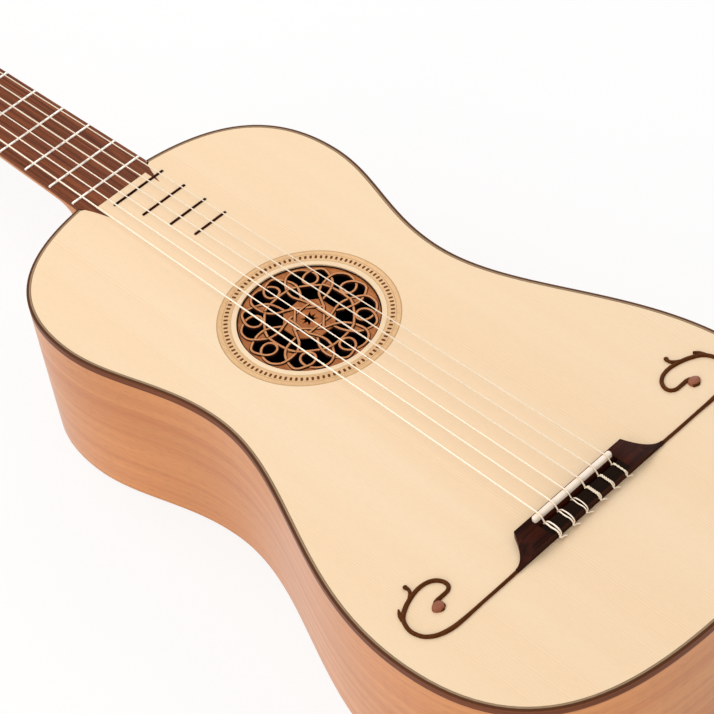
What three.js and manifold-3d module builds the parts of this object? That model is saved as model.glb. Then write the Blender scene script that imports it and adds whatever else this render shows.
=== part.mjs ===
// A six-string baroque guitar with a flat back, a carved rose, wooden body frets and friction pegs.
// Millimetres. Inside the instrument group x runs from the bass side to the treble side, y runs from
// the saddle's string break to the head, and z = 0 is the soundboard's face. The group is then moved
// so that the whole guitar lies on its back with its box centred over the origin.

import * as THREE from 'three';
import { mergeVertices } from 'three/addons/utils/BufferGeometryUtils.js';
import Module from 'manifold-3d';

const wasm = await Module();
wasm.setup();

// Clearances
const glue_line = 0.1;            // between glued pieces
const joint_gap = 0.3;            // between pieces cut to fit each other
const cut_overrun = 2;            // how far a cutting tool runs past a face

// Body outline. The neck joint is a share of the string length from the saddle, between frets 9 and 10
const string_length = 650;
const joint_share = 0.59062;
const body_length = 498.3;
const lower_bout_width = 283.6;
const waist_width = 180.2;
const upper_bout_width = 222.2;
const lower_bout_share = 0.22156;  // places along the body, as shares of its length from the tail
const waist_share = 0.60386;
const upper_bout_share = 0.82521;
const body_depth = 107;
const shoulder_handle_shares = [0.70, 0.65];
const upper_handle_shares = [0.34, 0.40];
const lower_handle_shares = [0.32, 0.41];
const tail_handle_shares = [0.83, 0.57];
const curve_steps = 10;           // straight runs in each of the outline's four curves

// Plates, ribs and edge
const top_thickness = 2.6;
const back_thickness = 2.6;
const rib_thickness = 2.2;
const binding_height = 4.7;
const binding_width = 1.4;
const purfling_width = 1.4;
const lining_width = 6;
const lining_height = 10;

// Blocks and bars
const neck_block_half_width = 38;
const neck_block_length = 28;
const tail_block_half_width = 25;
const tail_block_length = 20;
const bar_width = 6;
const top_bar_height = 16;
const back_bar_height = 12;
const bar_end_gap = 1;
const upper_bar_share = 0.7706;   // of the body's length, as the other places along it
const lower_bar_share = 0.5057;
const upper_back_bar_share = 0.7465;
const lower_back_bar_share = 0.3251;

// Rose and rosette
const rose_share = 0.64055;        // of the body's length, from the tail to the rose's middle
const rose_radius = 42.4;
const rose_sink = 0.8;            // how far the rose lies below the soundboard's face
const rosette_inner_radius = 45.8;
const rosette_outer_radius = 54.2;
const rosette_depth = 1;
const seat_inner_radius = 39.4;
const seat_outer_radius = 49;
const seat_thickness = 1.5;
const circle_steps = 48;
const seat_steps = 24;
const rose_folds = 8;
const star_radius = 5.6;
const star_inner_radius = 2.7;
const petal_middle = 20.6;        // radius on which the large openings lie
const petal_length = 9.6;
const petal_width = 10.4;
const eye_middle = 31.6;          // radius on which the eight small rings lie
const eye_radius = 3.3;
const slot_middle = 23.4;         // radius of the small openings between the large ones
const slot_length = 4.4;
const slot_width = 2.6;
const petal_steps = 10;
const eye_steps = 8;
const slot_steps = 6;
const petal_squareness = 0.75;    // 1 is an oval, less is squarer
// The opening beside each ring, as shares of the rose's radius and of the angle of one fold
const fan_share_points = [
  [0.689, 0.204], [0.750, 0.196], [0.816, 0.160], [0.870, 0.053], [0.875, 0.200],
  [0.849, 0.340], [0.778, 0.407], [0.708, 0.378], [0.682, 0.289],
];

// Bridge, saddle and moustaches
const bridge_half_length = 42.2;  // of the block, without its wings
const wing_length = 15.8;
const bridge_back = 16;           // from the string break back to the bridge's back face
const bridge_front = 1.7;         // from the string break forward to its front edge
const bridge_height = 5.4;
const wing_end_height = 1.6;
const wing_steps = 6;
const wing_fall_power = 2.2;      // how hollow the wing's top is
const wing_plan_power = 1.9;      // how hollow the wing's front edge is
const saddle_half_length = 30.8;
const saddle_width = 3.3;
const saddle_slot_bottom = 1.6;
const saddle_height = 8;          // its top above the soundboard
const saddle_shoulder = 0.9;      // how far its rounded back edge falls
const channel_back = 7.4;
const channel_bottom = 2;
const tie_hole_radius = 0.95;
const tie_hole_height = 3.1;
const tie_hole_sides = 8;
// How far the bass and the treble scroll reach, as shares of the body's half width at the saddle
const scroll_edge_shares = [0.8775, 0.8959];
const scroll_width = 2.0;
const scroll_thickness = 1.6;
const scroll_share_points = [
  [0, 0.016], [0.17, 0.014], [0.41, 0.014], [0.60, 0.013], [0.735, 0.022], [0.850, 0.058],
  [0.930, 0.122], [0.965, 0.210], [0.961, 0.292], [0.918, 0.379], [0.840, 0.434], [0.749, 0.471],
  [0.640, 0.493], [0.548, 0.484], [0.484, 0.447], [0.449, 0.388], [0.452, 0.335], [0.493, 0.303],
  [0.562, 0.299], [0.623, 0.297], [0.666, 0.272], [0.680, 0.234], [0.650, 0.208], [0.606, 0.223],
];
const scroll_width_shares = [
  1.0, 0.95, 0.95, 1.2, 1.4, 1.3, 1.2, 1.2, 1.2, 1.3, 1.35, 1.25,
  1.2, 1.2, 1.25, 1.2, 1.2, 1.15, 1.2, 1.3, 1.4, 1.3, 1.1, 0.6,
];
const bud_centre_shares = [0.650, 0.247];
const bud_size_shares = [0.056, 0.054];
const twig_share_points = [[0.760, 0.466], [0.711, 0.505], [0.688, 0.542], [0.692, 0.578]];
const twig_width_shares = [1.2, 1.1, 0.95, 1.15];
const spur_share_points = [[0.930, 0.365], [0.915, 0.418], [0.886, 0.460]];
const spur_width_shares = [1.5, 1.15, 0.6];

// Neck, fingerboard and frets
const nut_half_width = 23.4;
const joint_half_width = 28;      // half of the neck's width where it meets the body
const neck_depth_at_nut = 15;
const neck_depth_at_heel = 15;
const heel_length = 22;
const heel_foot_rise = 3.3;       // from the back's outer face up to the heel's foot
const heel_power = 2.6;
const heel_narrowing = 1.6;
const neck_stations = 18;
const neck_section_steps = 12;
const neck_station_power = 2.4;   // sections lie closer near the heel
const fingerboard_thickness = 2.6;
const fingerboard_overlap = 8.4;  // how far the fingerboard's end lies over the body
const tip_length = 13.6;
const tip_inner = 20.3;           // half of the distance between the two points
const tip_bow_shares = [0.55, 0.36];
const neck_fret_count = 9;
const fret_width = 1.9;
const fret_height = 1;
const fret_tang_width = 0.6;
const fret_tang_depth = 1.4;
const fret_end_inset = 0.3;
const crown_steps = 6;
const body_fret_width = 1.7;
const body_fret_height = 0.9;
const body_fret_treble_end = 28.6;
const body_fret_bass_ends = [-12, -6.2, -0.8, 2.9];
const nut_length = 5;
const nut_height = 1.9;           // above the fingerboard's face
const nut_fall = 1.6;             // from its front edge to its back edge
const nut_middle_fall_share = 0.4;

// Head and pegs, in the head's own tilted frame
const head_angle = THREE.MathUtils.degToRad(10);
const head_length = 160;
const head_thickness = 13.5;
const veneer_thickness = 1.5;
const head_half_width = 34;
const head_share_points = [
  [0.70, 0], [0.74, 0.05], [0.88, 0.13], [0.92, 0.22], [0.95, 0.50], [1.0, 0.84],
  [0.97, 0.885], [0.86, 0.895], [0.80, 0.93], [0.66, 0.965], [0.46, 0.955], [0.34, 0.97], [0.18, 1.0],
];
const peg_offset = 22;            // from the head's middle line to each row of pegs
const first_peg_station = 42;
const peg_spacing = 38;
const peg_tip_radius = 3.5;
const peg_root_radius = 4.4;
const peg_sides = 12;
const peg_clearance = 0.3;
const peg_tip_height = 15;        // above the head's face
const peg_collar_radius = 6.2;
const peg_collar_length = 3;
const peg_stem_length = 7;
const peg_stem_radius = 3.6;
const peg_thumb_radius = 12;
const peg_thumb_thickness = 6;
const peg_thumb_sides = 14;
const peg_behind_gap = 2;         // from the head's back to the collar

// Strings, from the first, on the treble side, to the sixth
const string_diameters = [0.72, 0.82, 1.0, 0.76, 0.9, 1.1];
const saddle_spread = 53.2;       // between the outer strings at the saddle
const nut_spread = 38.4;
const string_sides = 8;
const string_clearance = 0.12;    // between a string and what it lies on
const string_bend_steps = 2;
const string_lean_share = 0.75;   // of its radius, outwards over the saddle's back edge
const tie_bend_radius = 1.1;
const bend_room_share = 0.48;     // of a straight that a bend may take
const winding_height = 5;         // of the first turn above the head's face
const winding_turns = 3;
const winding_steps = 10;
const winding_sides = 5;
const winding_gap = 0.5;

// Places worked out from the sizes above
const shoulder_y = joint_share * string_length;
const tail_y = shoulder_y - body_length;
const along_body = (share) => tail_y + share * body_length;
const rose_y = along_body(rose_share);
const edge_width = binding_width + glue_line + purfling_width + glue_line;
const board_bottom = -top_thickness;
const neck_top = -fingerboard_thickness - glue_line;
const heel_depth = body_depth + neck_top - heel_foot_rise;
const back_top = back_thickness - body_depth;
const nut_back_y = string_length + nut_length;
const head_y = nut_back_y + glue_line;
const string_count = string_diameters.length;

const wood = (color, roughness) => new THREE.MeshStandardMaterial({ color, roughness, metalness: 0 });
const spruce = wood('#f0d6ae', 0.55);
const cherry = wood('#d89b68', 0.5);
const rosewood = wood('#4a2318', 0.45);
const ebonised = wood('#2b1a14', 0.5);
const pearwood = wood('#b5713f', 0.6);
const brace_wood = wood('#e3c796', 0.7);
const scroll_wood = wood('#5f3317', 0.5);
const inlay_wood = wood('#e0c48d', 0.55);
const peg_wood = wood('#3a2019', 0.4);
const bone = wood('#f6eedd', 0.4);
const nickel = new THREE.MeshStandardMaterial({ color: '#d9d6cf', roughness: 0.3, metalness: 0.9 });
const nylon = new THREE.MeshStandardMaterial({ color: '#f2efe8', roughness: 0.3, metalness: 0 });
const wound_silver = new THREE.MeshStandardMaterial({ color: '#d8d5cd', roughness: 0.35, metalness: 0.7 });

const guitar = new THREE.Group();
const instrument = new THREE.Group();
guitar.add(instrument);

function addMesh(group, name, geometry, material) {
  const mesh = new THREE.Mesh(geometry, material);
  mesh.name = name;
  group.add(mesh);
  return mesh;
}

// Geometry to solid and back, for cuts and joins
function toSolid(geometry) {
  const bare = geometry.clone();
  bare.deleteAttribute('normal');
  bare.deleteAttribute('uv');
  const merged = mergeVertices(bare, 1e-4);
  return new wasm.Manifold(new wasm.Mesh({
    numProp: 3,
    vertProperties: new Float32Array(merged.attributes.position.array),
    triVerts: new Uint32Array(merged.index.array),
  }));
}

function toGeometry(solid) {
  const mesh = solid.getMesh();
  const geometry = new THREE.BufferGeometry();
  geometry.setAttribute('position', new THREE.BufferAttribute(new Float32Array(mesh.vertProperties), 3));
  geometry.setIndex(new THREE.BufferAttribute(new Uint32Array(mesh.triVerts), 1));
  geometry.computeVertexNormals();
  return geometry;
}

// A plan outline, as points in x and y, raised from one height to another
function plate(points, low, high, holes = []) {
  const shape = new THREE.Shape(points);
  for (const hole of holes) shape.holes.push(new THREE.Path(hole));
  const geometry = new THREE.ExtrudeGeometry(shape, { depth: high - low, bevelEnabled: false });
  geometry.translate(0, 0, low);
  return geometry;
}

function block(x0, x1, y0, y1, z0, z1) {
  const geometry = new THREE.BoxGeometry(x1 - x0, y1 - y0, z1 - z0);
  geometry.translate((x0 + x1) / 2, (y0 + y1) / 2, (z0 + z1) / 2);
  return geometry;
}

function circle(radius, x, y, steps = circle_steps) {
  const points = [];
  for (let i = 0; i < steps; i++) {
    const angle = (2 * Math.PI * i) / steps;
    points.push(new THREE.Vector2(x + radius * Math.cos(angle), y + radius * Math.sin(angle)));
  }
  return points;
}

const mirrored = (points) => points.map((p) => new THREE.Vector2(-p.x, p.y)).reverse();

// Body outline: four curves on the treble side, from the neck joint to the tail
function outlineCurves() {
  const v = (x, y) => new THREE.Vector2(x, y);
  const upper = upper_bout_width / 2;
  const waist = waist_width / 2;
  const lower = lower_bout_width / 2;
  const upper_y = along_body(upper_bout_share);
  const waist_y = along_body(waist_share);
  const lower_y = along_body(lower_bout_share);
  return [
    new THREE.CubicBezierCurve(
      v(0, shoulder_y),
      v(shoulder_handle_shares[0] * upper, shoulder_y),
      v(upper, upper_y + shoulder_handle_shares[1] * (shoulder_y - upper_y)),
      v(upper, upper_y)),
    new THREE.CubicBezierCurve(
      v(upper, upper_y),
      v(upper, upper_y - upper_handle_shares[0] * (upper_y - waist_y)),
      v(waist, waist_y + upper_handle_shares[1] * (upper_y - waist_y)),
      v(waist, waist_y)),
    new THREE.CubicBezierCurve(
      v(waist, waist_y),
      v(waist, waist_y - lower_handle_shares[0] * (waist_y - lower_y)),
      v(lower, lower_y + lower_handle_shares[1] * (waist_y - lower_y)),
      v(lower, lower_y)),
    new THREE.CubicBezierCurve(
      v(lower, lower_y),
      v(lower, lower_y - tail_handle_shares[0] * (lower_y - tail_y)),
      v(tail_handle_shares[1] * lower, tail_y),
      v(0, tail_y)),
  ];
}

const body_curves = outlineCurves();

// Points of the treble half, moved inwards by the inset, from this far off the middle line to the tail
function halfOutline(inset, start_half_width) {
  const points = [];
  body_curves.forEach((curve, number) => {
    for (let i = number === 0 ? 0 : 1; i <= curve_steps; i++) {
      const p = curve.getPoint(i / curve_steps);
      const tangent = curve.getTangent(i / curve_steps);
      points.push(new THREE.Vector2(p.x + tangent.y * inset, p.y - tangent.x * inset));
    }
  });
  points[points.length - 1].x = 0;
  const next = points.findIndex((p) => p.x > start_half_width);
  const before = points[next - 1];
  const share = (start_half_width - before.x) / (points[next].x - before.x);
  return [before.clone().lerp(points[next], share), ...points.slice(next)];
}

const whole = (half) => [...half, ...mirrored(half).slice(1)];

// A strip that follows the body's edge round the tail, open at the neck
function edgeRing(outer_inset, inner_inset, start_half_width) {
  const outer = whole(halfOutline(outer_inset, start_half_width));
  const inner = whole(halfOutline(inner_inset, start_half_width));
  return [...outer, ...inner.reverse()];
}

// The first stretch of the treble half, from the middle line at the neck to this far off it
function neckStretch(inset, half_width) {
  const points = halfOutline(inset, 0);
  const next = points.findIndex((p) => p.x > half_width);
  const before = points[next - 1];
  const share = (half_width - before.x) / (points[next].x - before.x);
  return [...points.slice(0, next), before.clone().lerp(points[next], share)];
}

// The last stretch of the treble half, from this far off the middle line to the tail
function tailStretch(inset, half_width) {
  const points = halfOutline(inset, joint_half_width);
  const next = points.findLastIndex((p) => p.x > half_width) + 1;
  const before = points[next - 1];
  const share = (before.x - half_width) / (before.x - points[next].x);
  return [before.clone().lerp(points[next], share), ...points.slice(next)];
}

// Half of the body's width, less the inset, at a place along the body
function halfWidthAt(y, inset) {
  const points = halfOutline(inset, neck_block_half_width);
  for (let i = 1; i < points.length; i++) {
    const a = points[i - 1];
    const b = points[i];
    if (a.y >= y && b.y <= y) return a.x + ((b.x - a.x) * (a.y - y)) / (a.y - b.y);
  }
  return 0;
}

const joint_y = halfOutline(0, joint_half_width)[0].y;
const board_end_y = joint_y - fingerboard_overlap;
const neck_run = string_length - joint_y;
const scroll_root_x = bridge_half_length + wing_length + joint_gap;

function neckHalfWidth(y) {
  return joint_half_width + ((nut_half_width - joint_half_width) * (y - joint_y)) / neck_run;
}

// The end of the fingerboard: from the treble edge round both points to the bass edge
function boardEnd(grow) {
  const tip_y = board_end_y - tip_length;
  const half = [];
  const start = new THREE.Vector2(joint_half_width + grow, joint_y);
  const tip = new THREE.Vector2(tip_inner, tip_y - grow);
  const bow = new THREE.Vector2(
    start.x + tip_bow_shares[0] * (tip.x - start.x),
    start.y + tip_bow_shares[1] * (tip.y - start.y));
  const edge = new THREE.QuadraticBezierCurve(start, bow, tip);
  const edge_steps = curve_steps / 2;
  for (let i = 0; i <= edge_steps; i++) half.push(edge.getPoint(i / edge_steps));
  half.push(new THREE.Vector2(tip_inner - grow, tip_y - grow));
  half.push(new THREE.Vector2(tip_inner - grow, board_end_y - grow));
  if (grow === 0) half.splice(half.length - 2, 1);
  return [...half, ...mirrored(half)];
}

function makeSoundboard() {
  const edge = whole(halfOutline(edge_width, joint_half_width));
  const pocket = boardEnd(joint_gap);
  const first = edge[0];
  const last = edge[edge.length - 1];
  const inner = pocket.filter((p) => p.y < first.y - joint_gap);
  inner.unshift(new THREE.Vector2(joint_half_width, first.y - glue_line));
  inner.push(new THREE.Vector2(-joint_half_width, last.y - glue_line));
  const outline = [...edge, ...inner.reverse()];
  const hole = circle(rose_radius + joint_gap, 0, rose_y);
  const board = toSolid(plate(outline, board_bottom, 0, [hole]));
  const groove = toSolid(plate(
    circle(rosette_outer_radius + glue_line, 0, rose_y),
    -rosette_depth - glue_line,
    cut_overrun,
    [circle(rosette_inner_radius - glue_line, 0, rose_y)]));
  return toGeometry(board.subtract(groove));
}

function makeRib(side) {
  const gap = glue_line / 2;
  const outer = halfOutline(0, gap);
  const inner = halfOutline(rib_thickness, gap);
  outer[outer.length - 1].x = gap;
  inner[inner.length - 1].x = gap;
  const ring = [...outer, ...inner.reverse()];
  const points = side > 0 ? ring : mirrored(ring);
  return plate(points, back_top + glue_line, -binding_height - glue_line);
}

function addBody() {
  const lining_inset = rib_thickness + glue_line;
  const lining_start = neck_block_half_width + glue_line;
  const lining = edgeRing(lining_inset, lining_inset + lining_width, lining_start);
  const binding_start = joint_half_width + joint_gap;

  addMesh(instrument, 'soundboard', makeSoundboard(), spruce);
  addMesh(instrument, 'top_purfling', plate(
    edgeRing(binding_width + glue_line, binding_width + glue_line + purfling_width, joint_half_width),
    board_bottom, 0), inlay_wood);
  addMesh(instrument, 'top_binding', plate(
    edgeRing(0, binding_width, binding_start), -binding_height, 0), ebonised);
  addMesh(instrument, 'rib_bass', makeRib(-1), cherry);
  addMesh(instrument, 'rib_treble', makeRib(1), cherry);
  const back_outline = whole(halfOutline(0, joint_half_width));
  addMesh(instrument, 'back', plate(back_outline, -body_depth, back_top), cherry);
  const lining_top = board_bottom - glue_line;
  const lining_bottom = back_top + glue_line;
  addMesh(instrument, 'top_lining', plate(lining, lining_top - lining_height, lining_top), brace_wood);
  addMesh(instrument, 'back_lining',
    plate(lining, lining_bottom, lining_bottom + lining_height), brace_wood);

  const block_inset = rib_thickness + joint_gap;
  const neck_outer = whole(neckStretch(block_inset, neck_block_half_width).reverse());
  const neck_inner_y = shoulder_y - block_inset - neck_block_length;
  neck_outer.push(new THREE.Vector2(-neck_block_half_width, neck_inner_y));
  neck_outer.push(new THREE.Vector2(neck_block_half_width, neck_inner_y));
  addMesh(instrument, 'neck_block',
    plate(neck_outer, back_top + glue_line, board_bottom - glue_line), brace_wood);
  const tail_outer = whole(tailStretch(block_inset, tail_block_half_width));
  const tail_inner_y = tail_y + block_inset + tail_block_length;
  tail_outer.push(new THREE.Vector2(-tail_block_half_width, tail_inner_y));
  tail_outer.push(new THREE.Vector2(tail_block_half_width, tail_inner_y));
  addMesh(instrument, 'tail_block', plate(tail_outer,
    lining_bottom + lining_height + glue_line, lining_top - lining_height - glue_line), brace_wood);
}

function addBars() {
  const inset = rib_thickness + glue_line + lining_width;
  const bar = (name, share, low, high) => {
    const y = along_body(share);
    const reach = Math.min(
      halfWidthAt(y - bar_width / 2, inset), halfWidthAt(y + bar_width / 2, inset)) - bar_end_gap;
    addMesh(instrument, name,
      block(-reach, reach, y - bar_width / 2, y + bar_width / 2, low, high), brace_wood);
  };
  const under_top = board_bottom - glue_line;
  const over_back = back_top + glue_line;
  bar('top_bar_upper', upper_bar_share, under_top - top_bar_height, under_top);
  bar('top_bar_lower', lower_bar_share, under_top - top_bar_height, under_top);
  bar('back_bar_upper', upper_back_bar_share, over_back, over_back + back_bar_height);
  bar('back_bar_lower', lower_back_bar_share, over_back, over_back + back_bar_height);
}

// The rose's openings: a star, and in each of eight folds a petal, a ring's eye, two fans and a slot
function roseHoles() {
  const fold = (2 * Math.PI) / rose_folds;
  const at = (radius, angle) => new THREE.Vector2(
    radius * Math.cos(angle), rose_y + radius * Math.sin(angle));
  const local = (along, across, angle) => new THREE.Vector2(
    along * Math.cos(angle) - across * Math.sin(angle),
    rose_y + along * Math.sin(angle) + across * Math.cos(angle));
  const oval = (middle, length, width, angle, steps, power) => {
    const points = [];
    for (let i = 0; i < steps; i++) {
      const a = (2 * Math.PI * (i + 0.5)) / steps;
      const c = Math.cos(a);
      const s = Math.sin(a);
      points.push(local(
        middle + (length / 2) * Math.sign(c) * Math.abs(c) ** power,
        (width / 2) * Math.sign(s) * Math.abs(s) ** power,
        angle));
    }
    return points;
  };
  const holes = [];
  const star = [];
  for (let i = 0; i < rose_folds; i++) {
    star.push(at(star_radius, fold * i));
    star.push(at(star_inner_radius, fold * (i + 0.5)));
  }
  holes.push(star);
  for (let i = 0; i < rose_folds; i++) {
    const angle = fold * i;
    holes.push(oval(petal_middle, petal_length, petal_width, angle, petal_steps, petal_squareness));
    holes.push(oval(eye_middle, 2 * eye_radius, 2 * eye_radius, angle, eye_steps, 1));
    holes.push(oval(slot_middle, slot_length, slot_width, angle + fold / 2, slot_steps, 1));
    for (const side of [-1, 1]) {
      holes.push(fan_share_points.map(([out, turn]) => at(
        out * rose_radius, angle + side * turn * fold)));
    }
  }
  return holes;
}

function addRose() {
  addMesh(instrument, 'rosette_ring', plate(
    circle(rosette_outer_radius, 0, rose_y), -rosette_depth, 0,
    [circle(rosette_inner_radius, 0, rose_y)]), inlay_wood);
  addMesh(instrument, 'rose', plate(
    circle(rose_radius, 0, rose_y), board_bottom, -rose_sink, roseHoles()), pearwood);
  const seat_top = board_bottom - glue_line;
  addMesh(instrument, 'rose_seat_ring', plate(
    circle(seat_outer_radius, 0, rose_y, seat_steps), seat_top - seat_thickness, seat_top,
    [circle(seat_inner_radius, 0, rose_y, seat_steps)]), brace_wood);
}

const stringX = (number, spread) => spread / 2 - ((number - 1) * spread) / (string_count - 1);

// Height of a wing's top at a distance from the bridge's block, falling in a hollow curve
function wingHeight(share) {
  return wing_end_height + (bridge_height - wing_end_height) * (1 - share) ** wing_fall_power;
}

function makeBridge() {
  const wing_x = bridge_half_length + wing_length;
  const half = [];
  for (let i = 0; i <= wing_steps; i++) {
    const share = i / wing_steps;
    const drop = (bridge_front + bridge_back - scroll_width) * (1 - (1 - share) ** wing_plan_power);
    half.push(new THREE.Vector2(bridge_half_length + wing_length * share, bridge_front - drop));
  }
  half.push(new THREE.Vector2(wing_x, -bridge_back));
  const outline = [...half.reverse(), ...half.map((p) => new THREE.Vector2(-p.x, p.y)).reverse()];
  let bridge = toSolid(plate(outline, glue_line, bridge_height));

  const scoop = [];
  for (let i = 0; i <= wing_steps; i++) {
    const share = i / wing_steps;
    scoop.push(new THREE.Vector2(bridge_half_length + wing_length * share, wingHeight(share)));
  }
  scoop.push(new THREE.Vector2(wing_x + cut_overrun, wing_end_height));
  scoop.push(new THREE.Vector2(wing_x + cut_overrun, bridge_height + cut_overrun));
  scoop.push(new THREE.Vector2(bridge_half_length, bridge_height + cut_overrun));
  const scoop_length = bridge_back + bridge_front + 2 * cut_overrun;
  for (const points of [scoop, mirrored(scoop)]) {
    const tool = plate(points, 0, scoop_length);
    tool.rotateX(Math.PI / 2);
    tool.translate(0, bridge_front + cut_overrun, 0);
    bridge = bridge.subtract(toSolid(tool));
  }

  const slot_half = saddle_half_length + glue_line;
  bridge = bridge.subtract(toSolid(block(
    -slot_half, slot_half, -saddle_width - 2 * glue_line, 0,
    saddle_slot_bottom - glue_line, bridge_height + cut_overrun)));
  bridge = bridge.subtract(toSolid(block(
    -slot_half, slot_half, -channel_back, -saddle_width,
    channel_bottom, bridge_height + cut_overrun)));
  for (let number = 1; number <= string_count; number++) {
    const length = bridge_back - channel_back + 2 * cut_overrun;
    const hole = new THREE.CylinderGeometry(tie_hole_radius, tie_hole_radius, length, tie_hole_sides);
    hole.translate(
      stringX(number, saddle_spread), -channel_back + cut_overrun - length / 2, tie_hole_height);
    bridge = bridge.subtract(toSolid(hole));
  }
  return toGeometry(bridge);
}

function makeSaddle() {
  const low = saddle_slot_bottom;
  const profile = [
    new THREE.Vector2(-saddle_width, low),
    new THREE.Vector2(0, low),
    new THREE.Vector2(0, saddle_height - saddle_shoulder / 2),
    new THREE.Vector2(-saddle_shoulder / 2, saddle_height),
    new THREE.Vector2(-saddle_width + saddle_shoulder, saddle_height - saddle_shoulder / 4),
    new THREE.Vector2(-saddle_width, saddle_height - saddle_shoulder),
  ];
  const bar = plate(profile, -saddle_half_length, saddle_half_length);
  bar.applyMatrix4(new THREE.Matrix4().makeBasis(
    new THREE.Vector3(0, 1, 0), new THREE.Vector3(0, 0, 1), new THREE.Vector3(1, 0, 0)));
  bar.translate(0, -glue_line, 0);
  return bar;
}

// A flat ribbon along a smooth plan curve, with a width at each point
function ribbon(centres, widths, steps, low, high) {
  const curve = new THREE.SplineCurve(centres);
  const left = [];
  const right = [];
  for (let i = 0; i <= steps; i++) {
    const t = i / steps;
    const p = curve.getPoint(t);
    const tangent = curve.getTangent(t);
    const place = t * (widths.length - 1);
    const k = Math.min(Math.floor(place), widths.length - 2);
    const half = (widths[k] + (widths[k + 1] - widths[k]) * (place - k)) / 2;
    left.push(new THREE.Vector2(p.x - tangent.y * half, p.y + tangent.x * half));
    right.push(new THREE.Vector2(p.x + tangent.y * half, p.y - tangent.x * half));
  }
  return plate([...right, ...left.reverse()], low, high);
}

function makeMoustache(side) {
  const root_y = -bridge_back;
  const edge_share = scroll_edge_shares[side < 0 ? 0 : 1];
  const scroll_reach = edge_share * halfWidthAt(0, 0) - scroll_root_x;
  const place = ([along, up]) => new THREE.Vector2(
    side * (scroll_root_x + along * scroll_reach), root_y + up * scroll_reach);
  const strand = (points, shares, steps) => toSolid(ribbon(
    points.map(place), shares.map((share) => share * scroll_width), steps, glue_line, scroll_thickness));
  let scroll = strand(scroll_share_points, scroll_width_shares, 2 * scroll_share_points.length);
  scroll = scroll.add(strand(twig_share_points, twig_width_shares, twig_share_points.length));
  scroll = scroll.add(strand(spur_share_points, spur_width_shares, spur_share_points.length));
  const middle = place(bud_centre_shares);
  const bud = circle(scroll_reach, 0, 0, curve_steps).map((p) => new THREE.Vector2(
    middle.x + p.x * bud_size_shares[0], middle.y + p.y * bud_size_shares[1]));
  return toGeometry(scroll.add(toSolid(plate(bud, glue_line, scroll_thickness))));
}

function addBridge() {
  addMesh(instrument, 'bridge', makeBridge(), rosewood);
  addMesh(instrument, 'saddle', makeSaddle(), bone);
  addMesh(instrument, 'moustache_bass', makeMoustache(-1), scroll_wood);
  addMesh(instrument, 'moustache_treble', makeMoustache(1), scroll_wood);
}

// A bar with a rounded back that lies across the strings, with or without a tang below it
function fretBar(low_x, high_x, y, base, width, height, tang_width, tang_depth) {
  const half = width / 2;
  const points = [];
  for (let i = 0; i <= crown_steps; i++) {
    const angle = (Math.PI * i) / crown_steps;
    points.push(new THREE.Vector2(half * Math.cos(angle), base + height * Math.sin(angle)));
  }
  if (tang_depth > 0) {
    points.push(new THREE.Vector2(-tang_width / 2, base));
    points.push(new THREE.Vector2(-tang_width / 2, base - tang_depth));
    points.push(new THREE.Vector2(tang_width / 2, base - tang_depth));
    points.push(new THREE.Vector2(tang_width / 2, base));
  }
  const bar = plate(points, low_x, high_x);
  bar.applyMatrix4(new THREE.Matrix4().makeBasis(
    new THREE.Vector3(0, 1, 0), new THREE.Vector3(0, 0, 1), new THREE.Vector3(1, 0, 0)));
  bar.translate(0, y, 0);
  return bar;
}

const fretY = (number) => string_length * 2 ** (-number / 12);

function addFrets() {
  for (let number = 1; number <= neck_fret_count; number++) {
    const y = fretY(number);
    const reach = neckHalfWidth(y + fret_width / 2) - fret_end_inset;
    addMesh(instrument, `neck_fret_${number}`, fretBar(
      -reach, reach, y, glue_line, fret_width, fret_height, fret_tang_width, fret_tang_depth), nickel);
  }
  body_fret_bass_ends.forEach((bass_end, i) => {
    const number = neck_fret_count + 1 + i;
    addMesh(instrument, `body_fret_${number}`, fretBar(
      bass_end, body_fret_treble_end, fretY(number), glue_line,
      body_fret_width, body_fret_height, 0, 0), ebonised);
  });
}

function makeFingerboard() {
  const outline = [
    new THREE.Vector2(nut_half_width, string_length - glue_line),
    new THREE.Vector2(-nut_half_width, string_length - glue_line),
    ...boardEnd(0).reverse(),
  ];
  let board = toSolid(plate(outline, -fingerboard_thickness, 0));
  const slot_half = fret_tang_width / 2 + glue_line;
  for (let number = 1; number <= neck_fret_count; number++) {
    const y = fretY(number);
    const reach = neckHalfWidth(y) + cut_overrun;
    board = board.subtract(toSolid(block(
      -reach, reach, y - slot_half, y + slot_half, -fret_tang_depth, cut_overrun)));
  }
  return toGeometry(board);
}

// A closed body through sections with the same number of points
function loft(sections) {
  const count = sections[0].length;
  const positions = sections.flat().flatMap((p) => [p.x, p.y, p.z]);
  const index = [];
  for (let s = 0; s + 1 < sections.length; s++) {
    for (let i = 0; i < count; i++) {
      const a = s * count + i;
      const b = s * count + ((i + 1) % count);
      index.push(a, b, b + count, a, b + count, a + count);
    }
  }
  const last = (sections.length - 1) * count;
  for (let i = 1; i + 1 < count; i++) {
    index.push(0, i + 1, i);
    index.push(last, last + i, last + i + 1);
  }
  const geometry = new THREE.BufferGeometry();
  geometry.setAttribute('position', new THREE.Float32BufferAttribute(positions, 3));
  geometry.setIndex(index);
  geometry.computeVertexNormals();
  return geometry;
}

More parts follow.
